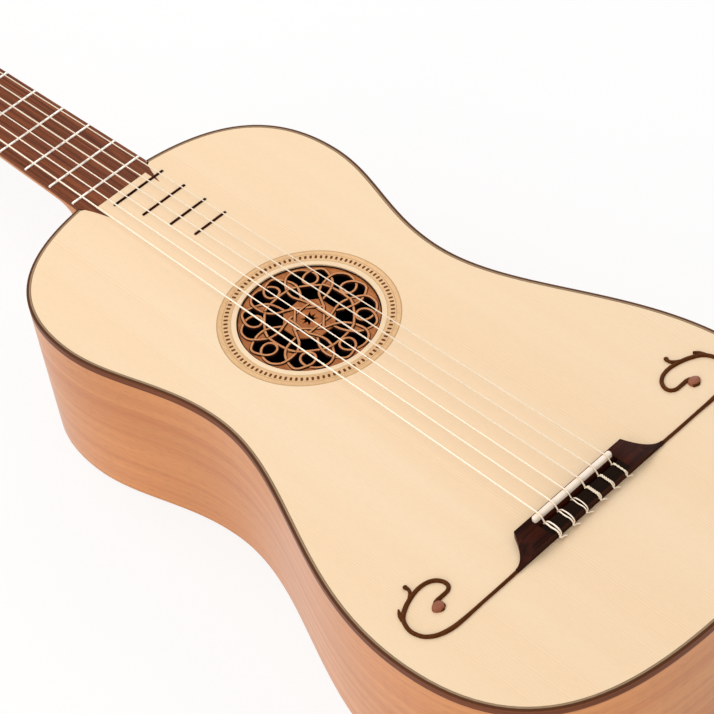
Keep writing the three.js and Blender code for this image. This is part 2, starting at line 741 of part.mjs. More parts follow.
function makeNeck() {
  const start = shoulder_y + joint_gap;
  const end = head_y + head_thickness;
  const sections = [];
  for (let s = 0; s <= neck_stations; s++) {
    const share = (s / neck_stations) ** neck_station_power;
    const y = start + (end - start) * share;
    const along = (y - start) / (end - start);
    const plain = neck_depth_at_heel + (neck_depth_at_nut - neck_depth_at_heel) * along;
    const near = Math.max(0, 1 - (y - start) / heel_length) ** heel_power;
    const depth = plain + (heel_depth - plain) * near;
    const narrow = 1 + heel_narrowing * near;
    const half = Math.max(neckHalfWidth(y), nut_half_width);
    const section = [];
    for (let i = 0; i <= neck_section_steps; i++) {
      const angle = (Math.PI * i) / neck_section_steps;
      const c = Math.cos(angle);
      const across = Math.sign(c) * Math.abs(c) ** narrow;
      section.push(new THREE.Vector3(half * across, y, neck_top - depth * Math.sin(angle)));
    }
    sections.push(section);
  }
  const solid = toSolid(loft(sections));
  const beyond = block(
    -head_half_width, head_half_width, -joint_gap, head_length, -heel_depth, heel_depth);
  beyond.rotateX(-head_angle);
  beyond.translate(0, head_y, neck_top);
  return toGeometry(solid.subtract(toSolid(beyond)));
}

function makeNut() {
  const low = -fingerboard_thickness;
  const profile = [
    new THREE.Vector2(0, low),
    new THREE.Vector2(nut_length - glue_line, low),
    new THREE.Vector2(nut_length - glue_line, nut_height - nut_fall),
    new THREE.Vector2(nut_length / 2, nut_height - nut_fall * nut_middle_fall_share),
    new THREE.Vector2(0, nut_height),
  ];
  const bar = plate(profile, -nut_half_width, nut_half_width);
  bar.applyMatrix4(new THREE.Matrix4().makeBasis(
    new THREE.Vector3(0, 1, 0), new THREE.Vector3(0, 0, 1), new THREE.Vector3(1, 0, 0)));
  bar.translate(0, string_length, 0);
  return bar;
}

// The head's own frame: y along its face from the nut, z out of its face
const head = new THREE.Group();
head.position.set(0, head_y, neck_top);
head.rotation.x = -head_angle;
instrument.add(head);

function headOutline() {
  const half = head_share_points.map(([across, along]) => new THREE.Vector2(
    across * head_half_width, along * head_length));
  return [...half, ...mirrored(half)];
}

const pegStation = (number) => {
  const order = Math.min(number - 1, string_count - number);
  return first_peg_station + order * peg_spacing;
};
const pegSide = (number) => (number <= string_count / 2 ? 1 : -1);
const peg_depth = veneer_thickness + glue_line + head_thickness;

function pegRadiusAt(height) {
  const share = (peg_tip_height - height) / (peg_tip_height + peg_depth);
  return peg_tip_radius + (peg_root_radius - peg_tip_radius) * share;
}

function pegHole(low, high) {
  const wide = (height) => (pegRadiusAt(height) + peg_clearance) / Math.cos(Math.PI / peg_sides);
  const hole = new THREE.CylinderGeometry(wide(high), wide(low), high - low, peg_sides);
  hole.rotateX(Math.PI / 2);
  hole.translate(0, 0, (low + high) / 2);
  return hole;
}

function makeHeadPlate(low, high) {
  let solid = toSolid(plate(headOutline(), low, high));
  for (let number = 1; number <= string_count; number++) {
    const hole = pegHole(low - cut_overrun, high + cut_overrun);
    hole.translate(pegSide(number) * peg_offset, pegStation(number), 0);
    solid = solid.subtract(toSolid(hole));
  }
  return toGeometry(solid);
}

function makePeg() {
  const collar_top = -peg_depth - peg_behind_gap;
  const collar_bottom = collar_top - peg_collar_length;
  const stem_bottom = collar_bottom - peg_stem_length;
  const v = (radius, height) => new THREE.Vector2(radius, height);
  const profile = [
    v(0, stem_bottom), v(peg_stem_radius, stem_bottom), v(peg_stem_radius, collar_bottom),
    v(peg_collar_radius, collar_bottom), v(peg_collar_radius, collar_top),
    v(pegRadiusAt(collar_top), collar_top), v(peg_tip_radius, peg_tip_height - peg_tip_radius / 3),
    v(peg_tip_radius / 2, peg_tip_height), v(0, peg_tip_height),
  ];
  const shaft = new THREE.LatheGeometry(profile, peg_sides);
  shaft.rotateX(Math.PI / 2);
  const thumb = new THREE.CylinderGeometry(
    peg_thumb_radius, peg_thumb_radius, peg_thumb_thickness, peg_thumb_sides);
  thumb.translate(0, 0, stem_bottom - peg_thumb_radius + peg_stem_radius);
  return toGeometry(toSolid(shaft).add(toSolid(thumb)));
}

// A smooth run through chosen points with a given direction at each
class PointPath extends THREE.Curve {
  constructor(points) {
    super();
    this.points = points;
  }

  place(share) {
    return Math.round(share * (this.points.length - 1));
  }

  getPointAt(share, target = new THREE.Vector3()) {
    return target.copy(this.points[this.place(share)]);
  }

  getTangentAt(share, target = new THREE.Vector3()) {
    const i = this.place(share);
    const before = this.points[Math.max(i - 1, 0)];
    const after = this.points[Math.min(i + 1, this.points.length - 1)];
    const here = this.points[i];
    const a = here.clone().sub(before).normalize();
    const b = after.clone().sub(here).normalize();
    return target.copy(a).add(b).normalize();
  }
}

function tube(points, radius, sides) {
  const section = new THREE.Shape(circle(radius, 0, 0, sides));
  const path = new PointPath(points);
  return new THREE.ExtrudeGeometry(section, {
    steps: points.length - 1, extrudePath: path, bevelEnabled: false,
  });
}

// Corners of a route, each inner one replaced by a short arc
function rounded(corners, radius) {
  const points = [corners[0]];
  for (let i = 1; i + 1 < corners.length; i++) {
    const here = corners[i];
    const to_last = corners[i - 1].clone().sub(here);
    const to_next = corners[i + 1].clone().sub(here);
    const turn = Math.PI - to_last.angleTo(to_next);
    const room = bend_room_share * Math.min(to_last.length(), to_next.length());
    const reach = Math.min(radius * Math.tan(turn / 2), room);
    const start = here.clone().add(to_last.setLength(reach));
    const end = here.clone().add(to_next.setLength(reach));
    const bend = new THREE.QuadraticBezierCurve3(start, here, end);
    for (let k = 0; k <= string_bend_steps; k++) points.push(bend.getPoint(k / string_bend_steps));
  }
  points.push(corners[corners.length - 1]);
  return points;
}

const windingRadius = (radius) => pegRadiusAt(winding_height) + radius + string_clearance;

// The winding climbs the peg from the string's side, with a short straight at each end
function windingPoints(number) {
  const radius = string_diameters[number - 1] / 2;
  const around = windingRadius(radius);
  const pitch = 2 * radius + winding_gap;
  const side = pegSide(number);
  const count = winding_turns * winding_steps;
  const points = [];
  for (let i = 0; i <= count; i++) {
    const angle = (2 * Math.PI * i) / winding_steps;
    points.push(new THREE.Vector3(
      -side * around * Math.cos(angle),
      around * Math.sin(angle),
      winding_height + (pitch * i) / winding_steps));
  }
  const first = points[0].clone();
  first.y -= 2 * radius;
  const last = points[count].clone();
  last.y += 2 * radius;
  return [first, ...points, last];
}

// Least space between turns of a winding, measured between its points
function leastGap(points, diameter) {
  let least = Infinity;
  for (let i = 0; i < points.length; i++) {
    for (let j = i + winding_steps / 2; j < points.length; j++) {
      least = Math.min(least, points[i].distanceTo(points[j]) - diameter);
    }
  }
  return least;
}

function addHead() {
  addMesh(instrument, 'nut', makeNut(), bone);
  addMesh(head, 'head_veneer', makeHeadPlate(-veneer_thickness, 0), rosewood);
  addMesh(head, 'headstock', makeHeadPlate(-peg_depth, -veneer_thickness - glue_line), cherry);
  for (let number = 1; number <= string_count; number++) {
    const station = new THREE.Group();
    station.position.set(pegSide(number) * peg_offset, pegStation(number), 0);
    head.add(station);
    addMesh(station, `peg_${number}`, makePeg(), peg_wood);
    const points = windingPoints(number);
    const diameter = string_diameters[number - 1];
    addMesh(station, `winding_${number}`, tube(points, diameter / 2, winding_sides),
      number <= string_count / 2 ? nylon : wound_silver);
    console.log(`winding_${number}: least gap to itself ${leastGap(points, diameter).toFixed(2)} mm`);
  }
}

// Each string runs from its winding over the nut and the saddle, through the tie block and back over it
function stringRoute(number) {
  const radius = string_diameters[number - 1] / 2;
  const rest = radius + string_clearance;
  const side = pegSide(number);
  const around = windingRadius(radius);
  const swept = Math.hypot(around + radius, 2 * radius);
  const stand_off = Math.sqrt(swept ** 2 - (around - radius) ** 2) + joint_gap;
  const nut_point = new THREE.Vector3(stringX(number, nut_spread), string_length, nut_height + rest);
  const tangent = new THREE.Vector3(
    side * (peg_offset - around), pegStation(number), winding_height);
  tangent.applyAxisAngle(new THREE.Vector3(1, 0, 0), -head_angle);
  tangent.add(head.position);
  const run = tangent.clone().sub(nut_point);
  const start = tangent.clone().sub(run.clone().setLength(stand_off));
  const x = stringX(number, saddle_spread);
  const behind = -bridge_back - rest - string_clearance;
  const over = bridge_height + rest + string_clearance;
  const saddle_back = -saddle_width - glue_line;
  const lean = string_lean_share * rest;
  return rounded([
    start,
    nut_point,
    new THREE.Vector3(x, -saddle_shoulder / 2 - glue_line, saddle_height + rest),
    new THREE.Vector3(
      x,
      saddle_back + saddle_shoulder - lean / 4,
      saddle_height - saddle_shoulder / 4 + rest,
    ),
    new THREE.Vector3(x, saddle_back - lean, saddle_height - saddle_shoulder + lean),
    new THREE.Vector3(x, -channel_back + radius, tie_hole_height),
    new THREE.Vector3(x, behind, tie_hole_height),
    new THREE.Vector3(x, behind, over),
    new THREE.Vector3(x, -channel_back, over),
  ], tie_bend_radius);
}

function addStrings() {
  for (let number = 1; number <= string_count; number++) {
    addMesh(instrument, `string_${number}`,
      tube(stringRoute(number), string_diameters[number - 1] / 2, string_sides),
      number <= string_count / 2 ? nylon : wound_silver);
  }
}

addBody();
addBars();
addRose();
addBridge();
addFrets();
addMesh(instrument, 'fingerboard', makeFingerboard(), rosewood);
addMesh(instrument, 'neck', makeNeck(), cherry);
addHead();
addStrings();

// The box is centred along y between the tail and the head's end
const head_end_y = head_y + head_length * Math.cos(head_angle);
instrument.position.set(0, -(tail_y + head_end_y) / 2, body_depth);

export default guitar;
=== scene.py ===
import math

import bmesh
import bpy
from bpy.props import FloatProperty, FloatVectorProperty, IntProperty, PointerProperty
from mathutils import Euler, Matrix, Vector
from mathutils.geometry import interpolate_bezier


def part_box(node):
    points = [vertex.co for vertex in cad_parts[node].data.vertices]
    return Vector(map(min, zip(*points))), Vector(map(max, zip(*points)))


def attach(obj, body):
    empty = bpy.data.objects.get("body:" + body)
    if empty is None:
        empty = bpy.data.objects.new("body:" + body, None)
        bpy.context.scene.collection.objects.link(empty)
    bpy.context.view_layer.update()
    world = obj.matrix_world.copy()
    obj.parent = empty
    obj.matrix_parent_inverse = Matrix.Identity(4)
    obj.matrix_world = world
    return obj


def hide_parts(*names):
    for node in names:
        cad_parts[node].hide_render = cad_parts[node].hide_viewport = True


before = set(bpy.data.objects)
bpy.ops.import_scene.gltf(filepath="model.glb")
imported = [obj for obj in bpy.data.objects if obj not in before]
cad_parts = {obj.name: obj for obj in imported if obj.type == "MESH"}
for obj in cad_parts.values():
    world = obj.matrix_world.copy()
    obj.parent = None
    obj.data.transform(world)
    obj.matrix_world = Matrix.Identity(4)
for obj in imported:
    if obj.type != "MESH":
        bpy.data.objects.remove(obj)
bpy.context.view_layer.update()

bl_info = {
    "name": "Baroque guitar",
    "version": (1, 0, 0),
    "blender": (4, 5, 0),
    "location": "View3D > Sidebar > Guitar",
    "description": "Dresses a six-string baroque guitar over its solid frame",
    "category": "Object",
}

# Everything is shaped in millimetres from the saddle line: x to the treble side, y to the head, and
# z up from the soundboard's face. A piece is moved into the frame when it is finished.
MM = 0.001
SADDLE_LINE = Vector((0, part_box("saddle")[1].y + 0.1 * MM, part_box("soundboard")[1].z))
TO_FRAME = Matrix.Translation(SADDLE_LINE) @ Matrix.Scale(MM, 4)


def span(node):
    """Give a solid's lowest and highest corner in millimetres from the saddle line."""
    low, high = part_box(node)
    return (low - SADDLE_LINE) / MM, (high - SADDLE_LINE) / MM


# Sizes of the instrument
STRING_LENGTH = 650.0
BACK_LOW, BACK_HIGH = span("back")
TAIL_Y = BACK_LOW.y
SHOULDER_Y = BACK_HIGH.y
BODY_DEPTH = -BACK_LOW.z
BODY_LENGTH = SHOULDER_Y - TAIL_Y
LOWER_HALF = BACK_HIGH.x
WAIST_HALF = 90.1
UPPER_HALF = 111.1
LOWER_Y = TAIL_Y + 0.22156 * BODY_LENGTH
WAIST_Y = TAIL_Y + 0.60386 * BODY_LENGTH
UPPER_Y = TAIL_Y + 0.82521 * BODY_LENGTH
PLATE = 2.6
JOINT_GAP = 0.05
RIB = 2.2
BINDING_HEIGHT = 4.7
BINDING_WIDTH = 1.4
EDGE_WIDTH = 3.0
ROSE_Y = TAIL_Y + 0.64055 * BODY_LENGTH
ROSE_RADIUS = 42.4
HOLE_RADIUS = 42.65
GROOVE_RADII = (45.7, 54.3)
GROOVE_DEPTH = 1.05
JOINT_HALF = 28.0
NUT_HALF = 23.4
BOARD_THICK = 2.6
BOARD_OVERLAP = 8.4
POINT_LENGTH = 13.6
POINT_X = 20.3
NECK_TOP = -2.7
NECK_DEPTH = 15.0
HEEL_LENGTH = 22.0
HEAD_Y = 655.1
HEAD_ANGLE = math.radians(10)
HEAD_LENGTH = 160.0
HEAD_HALF = 34.0
VENEER = 1.5
HEAD_THICK = 13.5
HEAD_DEPTH = VENEER + 0.1 + HEAD_THICK
TO_HEAD = Matrix.Translation((0, HEAD_Y, NECK_TOP)) @ Matrix.Rotation(-HEAD_ANGLE, 4, "X")
PEG_OFFSET = 22.0
PEG_END = 15.0
PEG_HOLE_GAP = 0.25
THUMB_RADIUS = 12.0
STRING_DIAMETERS = (0.72, 0.82, 1.0, 0.76, 0.9, 1.1)
GAP = 0.12
WINDING_LOW = 5.0
SADDLE_SPREAD = 53.2
NUT_SPREAD = 38.4
BRIDGE_HALF = 42.2
WING = 15.8
BRIDGE_BACK = 16.0
BRIDGE_FRONT = 1.7
BLOCK_TOP = 5.4
WING_TOP = 1.6
WING_DEPTH = 2.0
CHANNEL_BACK = 7.4
CHANNEL_FLOOR = 2.0
TIE_HOLE_Z = 3.1
SLOT_FLOOR = 1.5
SADDLE_HALF = 30.8
SLOT_HALF = 30.9
SADDLE_TOP = 8.0
SCROLL_ROOT = BRIDGE_HALF + WING + 0.3
SCROLL_REACHES = {-1: 66.0, 1: 68.6}

# The photograph's camera: focal length in millimetres, place in metres from the saddle line, and turn
# in degrees
CAMERA_LENS = 126.196
CAMERA_PLACE = Vector((-0.6061, -0.60889, 1.03895))
CAMERA_TURN = (42.8574, 6.0879, -44.5895)


def linear(code):
    """Turn an sRGB hex colour into linear red, green and blue."""
    shares = [int(code[i:i + 2], 16) / 255 for i in (1, 3, 5)]
    return tuple(s / 12.92 if s <= 0.04045 else ((s + 0.055) / 1.055) ** 2.4 for s in shares)


def colour_choice(name, code, description):
    return FloatVectorProperty(name=name, description=description, subtype="COLOR", size=3,
                               min=0.0, max=1.0, default=linear(code))


def length_choice(name, description, default, low, high):
    return FloatProperty(name=name, description=description, unit="LENGTH",
                         default=default * MM, min=low * MM, max=high * MM)


def lamp_choice(name, description, default):
    return FloatProperty(name=name, description=description, unit="POWER",
                         default=default, min=0.0, max=200.0)


class GuitarSizes(bpy.types.PropertyGroup):
    edge_round: length_choice("Binding round", "Radius of the binding's outer corner", 0.6, 0.1, 2.0)
    ring_spacing: length_choice("Year rings", "Distance between the soundboard's year rings", 1.35, 0.4, 4.0)
    inlay_count: IntProperty(name="Rosette slots", description="Number of dark slots inlaid round the rose",
                             default=98, min=24, max=140)
    # A strand's dark edges are painted shade along its walls
    strand_width: length_choice("Rose strand", "Width of a carved strand, with its burnt edges",
                                2.1, 0.8, 3.0)
    strand_lift: length_choice("Strand lift", "Rise of a strand where it passes over another",
                               0.34, 0.0, 0.8)
    loop_spread: length_choice("String loop", "Distance between a string's two runs over the tie block",
                               2.2, 0.8, 3.0)
    knot_tail: length_choice("Knot tail", "Length of the string's end behind the bridge", 3.2, 1.0, 8.0)


class GuitarColours(bpy.types.PropertyGroup):
    spruce: colour_choice("Spruce", "#f8dcb8", "Soundboard")
    cherry: colour_choice("Cherry", "#dc8f49", "Ribs, back, neck and head")
    fingerboard: colour_choice("Fingerboard", "#8e4a26", "Fingerboard and head veneer")
    bridge: colour_choice("Bridge", "#421808", "Bridge and its wings")
    edging: colour_choice("Edging", "#7e4526", "Binding round the soundboard")
    rose: colour_choice("Rose", "#e09a62", "Carved pearwood of the rose")
    inlay: colour_choice("Inlay", "#eec08c", "Pale wood of the rosette")
    scroll: colour_choice("Scrolls", "#63340e", "Moustaches beside the bridge")
    peg: colour_choice("Pegs", "#3a2019", "Tuning pegs")
    bone: colour_choice("Bone", "#ffeedd", "Saddle and nut")
    metal: colour_choice("Fret metal", "#f0e6da", "Frets on the neck")
    string: colour_choice("Strings", "#fceacf", "Nylon strings")


class GuitarStage(bpy.types.PropertyGroup):
    sky_level: FloatProperty(name="Sky", description="Strength of the even light from all round",
                             default=0.66, min=0.0, max=2.0)
    key_power: lamp_choice("Key lamp", "Power of the large lamp above", 14.2)
    fill_power: lamp_choice("Side lamp", "Power of the lamp beside the bass ribs", 7.0)
    back_power: lamp_choice("Back lamp", "Power of the lamp beyond the treble side", 6.5)
    floor_glow: FloatProperty(name="Floor white", description="Share of the floor's look that is plain white",
                              default=0.8, min=0.0, max=1.0, subtype="FACTOR")


def sizes():
    return bpy.context.scene.guitar_sizes


def colours():
    return bpy.context.scene.guitar_colours


# Materials

def add_node(tree, kind, sockets=None, stops=None, **settings):
    """Add a shader node, set it up, and fill its sockets with values or links."""
    node = tree.nodes.new("ShaderNode" + kind)
    for name, value in settings.items():
        setattr(node, name, value)
    for socket, value in (sockets or {}).items():
        if isinstance(value, bpy.types.NodeSocket):
            tree.links.new(value, node.inputs[socket])
        else:
            node.inputs[socket].default_value = value
    if stops:
        ramp = node.color_ramp
        while len(ramp.elements) < len(stops):
            ramp.elements.new(0.5)
        for element, (place, shade) in zip(ramp.elements, stops):
            element.position = place
            element.color = (shade, shade, shade, 1) if isinstance(shade, (int, float)) else (*shade, 1)
    return node


def shaded(colour, red, green=None, blue=None):
    """Darken a colour, by one factor or by one for each channel."""
    return (colour[0] * red, colour[1] * (green or red), colour[2] * (blue or red), 1)


def new_finish(name, **shader_values):
    """Start a material with one Principled shader and give its tree and shader."""
    material = bpy.data.materials.new(name)
    material.use_nodes = True
    tree = material.node_tree
    tree.nodes.clear()
    shader = add_node(tree, "BsdfPrincipled")
    for socket, value in shader_values.items():
        shader.inputs[socket.replace("_", " ")].default_value = value
    add_node(tree, "OutputMaterial", {"Surface": shader.outputs[0]})
    return material, tree, shader


def grain(tree, place, run, streak, along, **sockets):
    """Noise drawn out along the grain: how far it runs along and across it, in millimetres."""
    scale = tuple(1 / (MM * (run if axis == along else streak)) for axis in "xyz")
    stretched = add_node(tree, "Mapping", {"Vector": place, "Scale": scale})
    noise = add_node(tree, "TexNoise", {"Vector": stretched.outputs[0], "Scale": 1.0, **sockets})
    return noise.outputs["Fac"]


def darkened(tree, base, pattern, stops, share=1.0):
    """Multiply a colour by a ramp over a pattern."""
    mask = add_node(tree, "ValToRGB", {"Fac": pattern}, stops=stops)
    return add_node(tree, "Mix", {0: share, 6: base, 7: mask.outputs["Color"]},
                    data_type="RGBA", blend_type="MULTIPLY").outputs[2]


def dress(tree, shader, colour, pattern, low, high, relief=None, strength=0.0, depth=0.0):
    """Give a shader its colour, a roughness that follows a pattern, and a relief in millimetres."""
    rough = add_node(tree, "MapRange", {"Value": pattern, 3: low, 4: high})
    tree.links.new(colour, shader.inputs["Base Color"])
    tree.links.new(rough.outputs[0], shader.inputs["Roughness"])
    if relief:
        bump = add_node(tree, "Bump", {"Strength": strength, "Distance": depth * MM, "Height": relief})
        tree.links.new(bump.outputs[0], shader.inputs["Normal"])


def wood_finish(name, tone, dark, streak, run, pore, gloss, along="y", source="Object", contrast=0.6,
                specular=0.4):
    """Planed wood: streaks along the grain, short dark pores, and a slow drift of tone."""
    colour = linear(tone) if tone.startswith("#") else getattr(colours(), tone)
    material, tree, shader = new_finish(name, Specular_IOR_Level=specular)
    place = add_node(tree, "TexCoord").outputs[source]
    streaks = grain(tree, place, run, streak, along, Detail=4.0, Roughness=0.62, Distortion=0.35)
    mask = add_node(tree, "ValToRGB", {"Fac": streaks}, stops=[(0.36, 0.0), (0.66, contrast)])
    base = add_node(tree, "Mix", {0: mask.outputs["Color"], 6: (*colour, 1), 7: shaded(colour, *dark)},
                    data_type="RGBA")
    pores = grain(tree, place, pore * 14, pore, along, Detail=2.0)
    pored = darkened(tree, base.outputs[2], pores, [(0.30, 0.55), (0.46, 1.0)], share=0.55)
    drift = add_node(tree, "TexNoise", {"Vector": place, "Scale": 9.0, "Detail": 1.0})
    toned = darkened(tree, pored, drift.outputs["Fac"], [(0.3, 0.88), (0.7, 1.0)])
    dress(tree, shader, toned, streaks, gloss - 0.05, gloss + 0.07, relief=pores, strength=0.35, depth=0.05)
    return material


def wood(tone, dark, streak, run, pore, gloss, **more):
    """One row of the woods: tone, its share left in the streaks, their width and run, pore width, gloss."""
    return dict(tone=tone, dark=dark, streak=streak, run=run, pore=pore, gloss=gloss, **more)


WOODS = {
    # Bent cherry ribs, varnished: light orange-brown, with brown figure that flows along the rib
    "bent_cherry": wood("cherry", (0.78, 0.58, 0.42), 9, 420, 0.5, 0.30, along="x", source="UV",
                        contrast=0.8, specular=0.6),
    # The same cherry as a flat board, quartered, for the back, neck and head
    "quartered_cherry": wood("cherry", (0.82, 0.68, 0.55), 7, 160, 0.5, 0.38, contrast=0.65),
    # Oiled rosewood: reddish brown with nearly black lengthwise streaks and open pores
    "oiled_rosewood": wood("fingerboard", (0.26, 0.20, 0.18), 1.9, 110, 0.35, 0.42, contrast=0.95,
                           specular=0.15),
    # Dark rosewood, waxed to a soft gloss, its grain along the bridge
    "waxed_dark_rosewood": wood("bridge", (0.16, 0.12, 0.12), 2.2, 60, 0.3, 0.30, along="x",
                                contrast=1.0, specular=0.04),
    # Ebony on the tie block: almost black, with brown streaks that barely show
    "ebony": wood("#1b0b02", (0.4,), 1.8, 50, 0.25, 0.34, along="x", contrast=0.7, specular=0.03),
    # Bent rosewood edging, polished with the ribs: reddish brown, streaked along its length
    "bent_rosewood_edging": wood("edging", (0.55, 0.48, 0.45), 1.6, 70, 0.3, 0.36, along="x",
                                 source="UV", specular=0.12),
    # Pale maple rings let in flush and scraped level with the spruce
    "pale_maple_inlay": wood("inlay", (0.92, 0.84, 0.72), 1.5, 9, 0.3, 0.45, contrast=0.5),
    # Carved pearwood: fine even grain, orange-brown, with a slightly waxy face
    "carved_pearwood": wood("rose", (0.72, 0.55, 0.42), 2.4, 14, 0.3, 0.46, contrast=0.7, specular=0.3),
    # The flat ground between the strands, painted a little darker and redder as shade for lying deeper
    "sunk_pearwood": wood("#c6793f", (0.62, 0.48, 0.40), 2.4, 14, 0.3, 0.52, contrast=0.8, specular=0.2),
    # The strands' cut walls, painted dark as the shade along the strands' edges
    "burnt_pearwood": wood("#33150a", (0.35,), 1.2, 5, 0.3, 0.6, contrast=0.8, specular=0.08),
    # The wood under the rose and the inside of the back, painted nearly black as the shade inside the body,
    # so that it can't be seen
    "sooted_spruce": wood("#1d0d08", (0.6,), 1.2, 60, 0.4, 0.7, specular=0.05),
    # Unvarnished spruce inside the body, split and planed: dull and straight-grained
    "bare_spruce": wood("#e3c796", (0.86, 0.76, 0.62), 1.2, 120, 0.4, 0.62),
    # Sawn walnut scrolls with rounded, waxed edges: dark brown with a warm cast
    "sawn_walnut": wood("scroll", (0.45, 0.38, 0.35), 1.4, 22, 0.3, 0.38, along="x", contrast=0.75,
                        specular=0.06),
    # The bud at each scroll's heart is paler, redder wood
    "plum_bud": wood("#9c5532", (0.6, 0.5, 0.45), 1.2, 9, 0.3, 0.38, along="x"),
    # Turned plumwood pegs, dark stained and burnished
    "turned_plumwood": wood("peg", (0.5, 0.42, 0.4), 1.6, 20, 0.3, 0.28, along="z", contrast=0.7),
}

# Dyed veneer lines let in flush: one tone each, broken by fine grain along the line
for veneer, dye in (("dark_binding_face", "#5c3317"), ("tan_line_veneer", "#a98c6c"),
                    ("brown_line_veneer", "#6b452b"), ("brown_slot_veneer", "#6b3c10"),
                    ("tan_ring_veneer", "#e6c495"), ("amber_ring_veneer", "#d4aa76")):
    WOODS[veneer] = wood(dye, (0.72,), 0.6, 12, 0.3, 0.45, along="x", source="UV", contrast=0.5,
                         specular=0.12)


def soundboard_spruce(name):
    # Quarter-sawn spruce, scraped and thinly varnished: pale cream, with a thin amber line for each
    # year's late wood, slow bands of tone, and a silky fleck across the grain
    colour = colours().spruce
    material, tree, shader = new_finish(name, Specular_IOR_Level=0.35)
    place = add_node(tree, "TexCoord").outputs["Object"]
    spacing = grain(tree, place, 900, 16, "y", Detail=2.0)
    phase = add_node(tree, "MapRange", {"Value": spacing, 3: 0.0, 4: 44.0})
    rings = add_node(tree, "TexWave", {
        "Vector": place, "Scale": wave_scale(sizes().ring_spacing), "Distortion": 1.1, "Detail": 2.0,
        "Detail Scale": 0.05, "Phase Offset": phase.outputs[0]}).outputs["Fac"]
    late = add_node(tree, "ValToRGB", {"Fac": rings}, stops=[(0.42, 0.0), (0.86, 0.62), (1.0, 0.80)])
    strength = add_node(tree, "MapRange", {"Value": spacing, 1: 0.36, 2: 0.64, 3: 0.1, 4: 0.75})
    line = add_node(tree, "Math", {0: late.outputs["Color"], 1: strength.outputs[0]}, operation="MULTIPLY")
    base = add_node(tree, "Mix", {0: line.outputs[0], 6: (*colour, 1),
                                  7: shaded(colour, 0.94, 0.84, 0.70)}, data_type="RGBA")
    fleck = grain(tree, place, 5, 0.7, "y", Detail=3.0)
    flecked = darkened(tree, base.outputs[2], fleck, [(0.3, 0.965), (0.7, 1.0)])
    broad = grain(tree, place, 420, 34, "y", Detail=1.0)
    toned = darkened(tree, flecked, broad, [(0.3, (0.985, 0.955, 0.91)), (0.72, (1.0, 1.0, 1.0))])
    dress(tree, shader, toned, fleck, 0.42, 0.54, relief=rings, strength=0.25, depth=0.03)
    return material


def wave_scale(spacing):
    """Scale of a wave texture whose bands lie this far apart."""
    return 2 * math.pi / (20 * spacing)


def polished_bone(name):
    # Polished bone: creamy, with fine darker veins along it
    colour = colours().bone
    material, tree, shader = new_finish(name, Specular_IOR_Level=0.4)
    veins = grain(tree, add_node(tree, "TexCoord").outputs["Object"], 14, 0.8, "x", Detail=3.0)
    mask = add_node(tree, "ValToRGB", {"Fac": veins}, stops=[(0.35, 0.7), (0.6, 0.0)])
    base = add_node(tree, "Mix", {0: mask.outputs["Color"], 6: (*colour, 1),
                                  7: shaded(colour, 0.97, 0.91, 0.80)}, data_type="RGBA")
    dress(tree, shader, base.outputs[2], veins, 0.24, 0.36)
    return material


def fret_nickel(name):
    # Drawn nickel silver, crowned and polished along the fret: bright, with fine filing lines
    material, tree, shader = new_finish(name, Metallic=1.0)
    lines = grain(tree, add_node(tree, "TexCoord").outputs["Object"], 9, 0.12, "x", Detail=2.0)
    base = darkened(tree, (*colours().metal, 1), lines, [(0.35, 0.86), (0.6, 1.0)])
    dress(tree, shader, base, lines, 0.22, 0.36, relief=lines, strength=0.2, depth=0.01)
    return material


def string_nylon(name):
    # Drawn nylon: milky and partly clear, slightly clouded along its length
    material, tree, shader = new_finish(name, Transmission_Weight=0.05, IOR=1.4)
    cloud = grain(tree, add_node(tree, "TexCoord").outputs["UV"], 6, 1, "x", Detail=2.0)
    base = darkened(tree, (*colours().string, 1), cloud, [(0.35, 0.93), (0.65, 1.0)])
    dress(tree, shader, base, cloud, 0.22, 0.34)
    return material


def wound_silver(name):
    # Silver-plated wire wound round a core. The real turns are 0.15 mm apart, too fine to show, so
    # they are drawn at 0.4 mm
    material, tree, shader = new_finish(name, Metallic=0.4)
    place = add_node(tree, "TexCoord").outputs["UV"]
    turns = add_node(tree, "TexWave", {"Vector": place, "Scale": wave_scale(0.4 * MM)}).outputs["Fac"]
    # Darker between the turns: painted shade in the grooves between the wires
    base = darkened(tree, (*linear("#f9e8d2"), 1), turns, [(0.0, 0.9), (0.5, 1.0)])
    dress(tree, shader, base, turns, 0.42, 0.28, relief=turns, strength=0.2, depth=0.03)
    return material


OTHER_FINISHES = {"quartersawn_spruce": soundboard_spruce, "polished_bone": polished_bone,
                  "drawn_nickel_silver": fret_nickel, "drawn_nylon": string_nylon,
                  "silver_winding": wound_silver}
MADE = {}


def finish(name):
    """Give a material by its name, made once and then shared."""
    known = bpy.data.materials.get(MADE.get(name, ""))
    if known is None:
        known = OTHER_FINISHES[name](name) if name in OTHER_FINISHES else wood_finish(name, **WOODS[name])
        MADE[name] = known.name
    return known


# Modelling helpers

CREASE = 38


def drape(bm, rows, columns, place, paint=None, chart=None):
    """Lay a grid over a form: the vertex in a row and column goes where place says."""
    grid = bmesh.ops.create_grid(bm, x_segments=rows, y_segments=columns, size=1.0)["verts"]
    spots = {v: (round((v.co.x + 1) * rows / 2), round((v.co.y + 1) * columns / 2)) for v in grid}
    chart_layer = bm.loops.layers.uv.verify() if chart else None
    for face in {f for v in grid for f in v.link_faces}:
        if paint:
            face.material_index = paint(min(spots[v][0] for v in face.verts),
                                        min(spots[v][1] for v in face.verts))
        if chart:
            for loop in face.loops:
                loop[chart_layer].uv = chart(*spots[loop.vert])
    for vert, spot in spots.items():
        vert.co = place(*spot)


def steps_to(whole, steps):
    """Even steps from nought to the whole."""
    return [whole * k / steps for k in range(steps + 1)]


def mirrored(half):
    """The bass half of an outline, from its treble half."""
    return [Vector((-p.x, p.y, 0)) for p in reversed(half)]


def weld(bm, reach=0.001):
    """Merge vertices that lie within reach of each other."""
    bmesh.ops.remove_doubles(bm, verts=bm.verts, dist=reach)


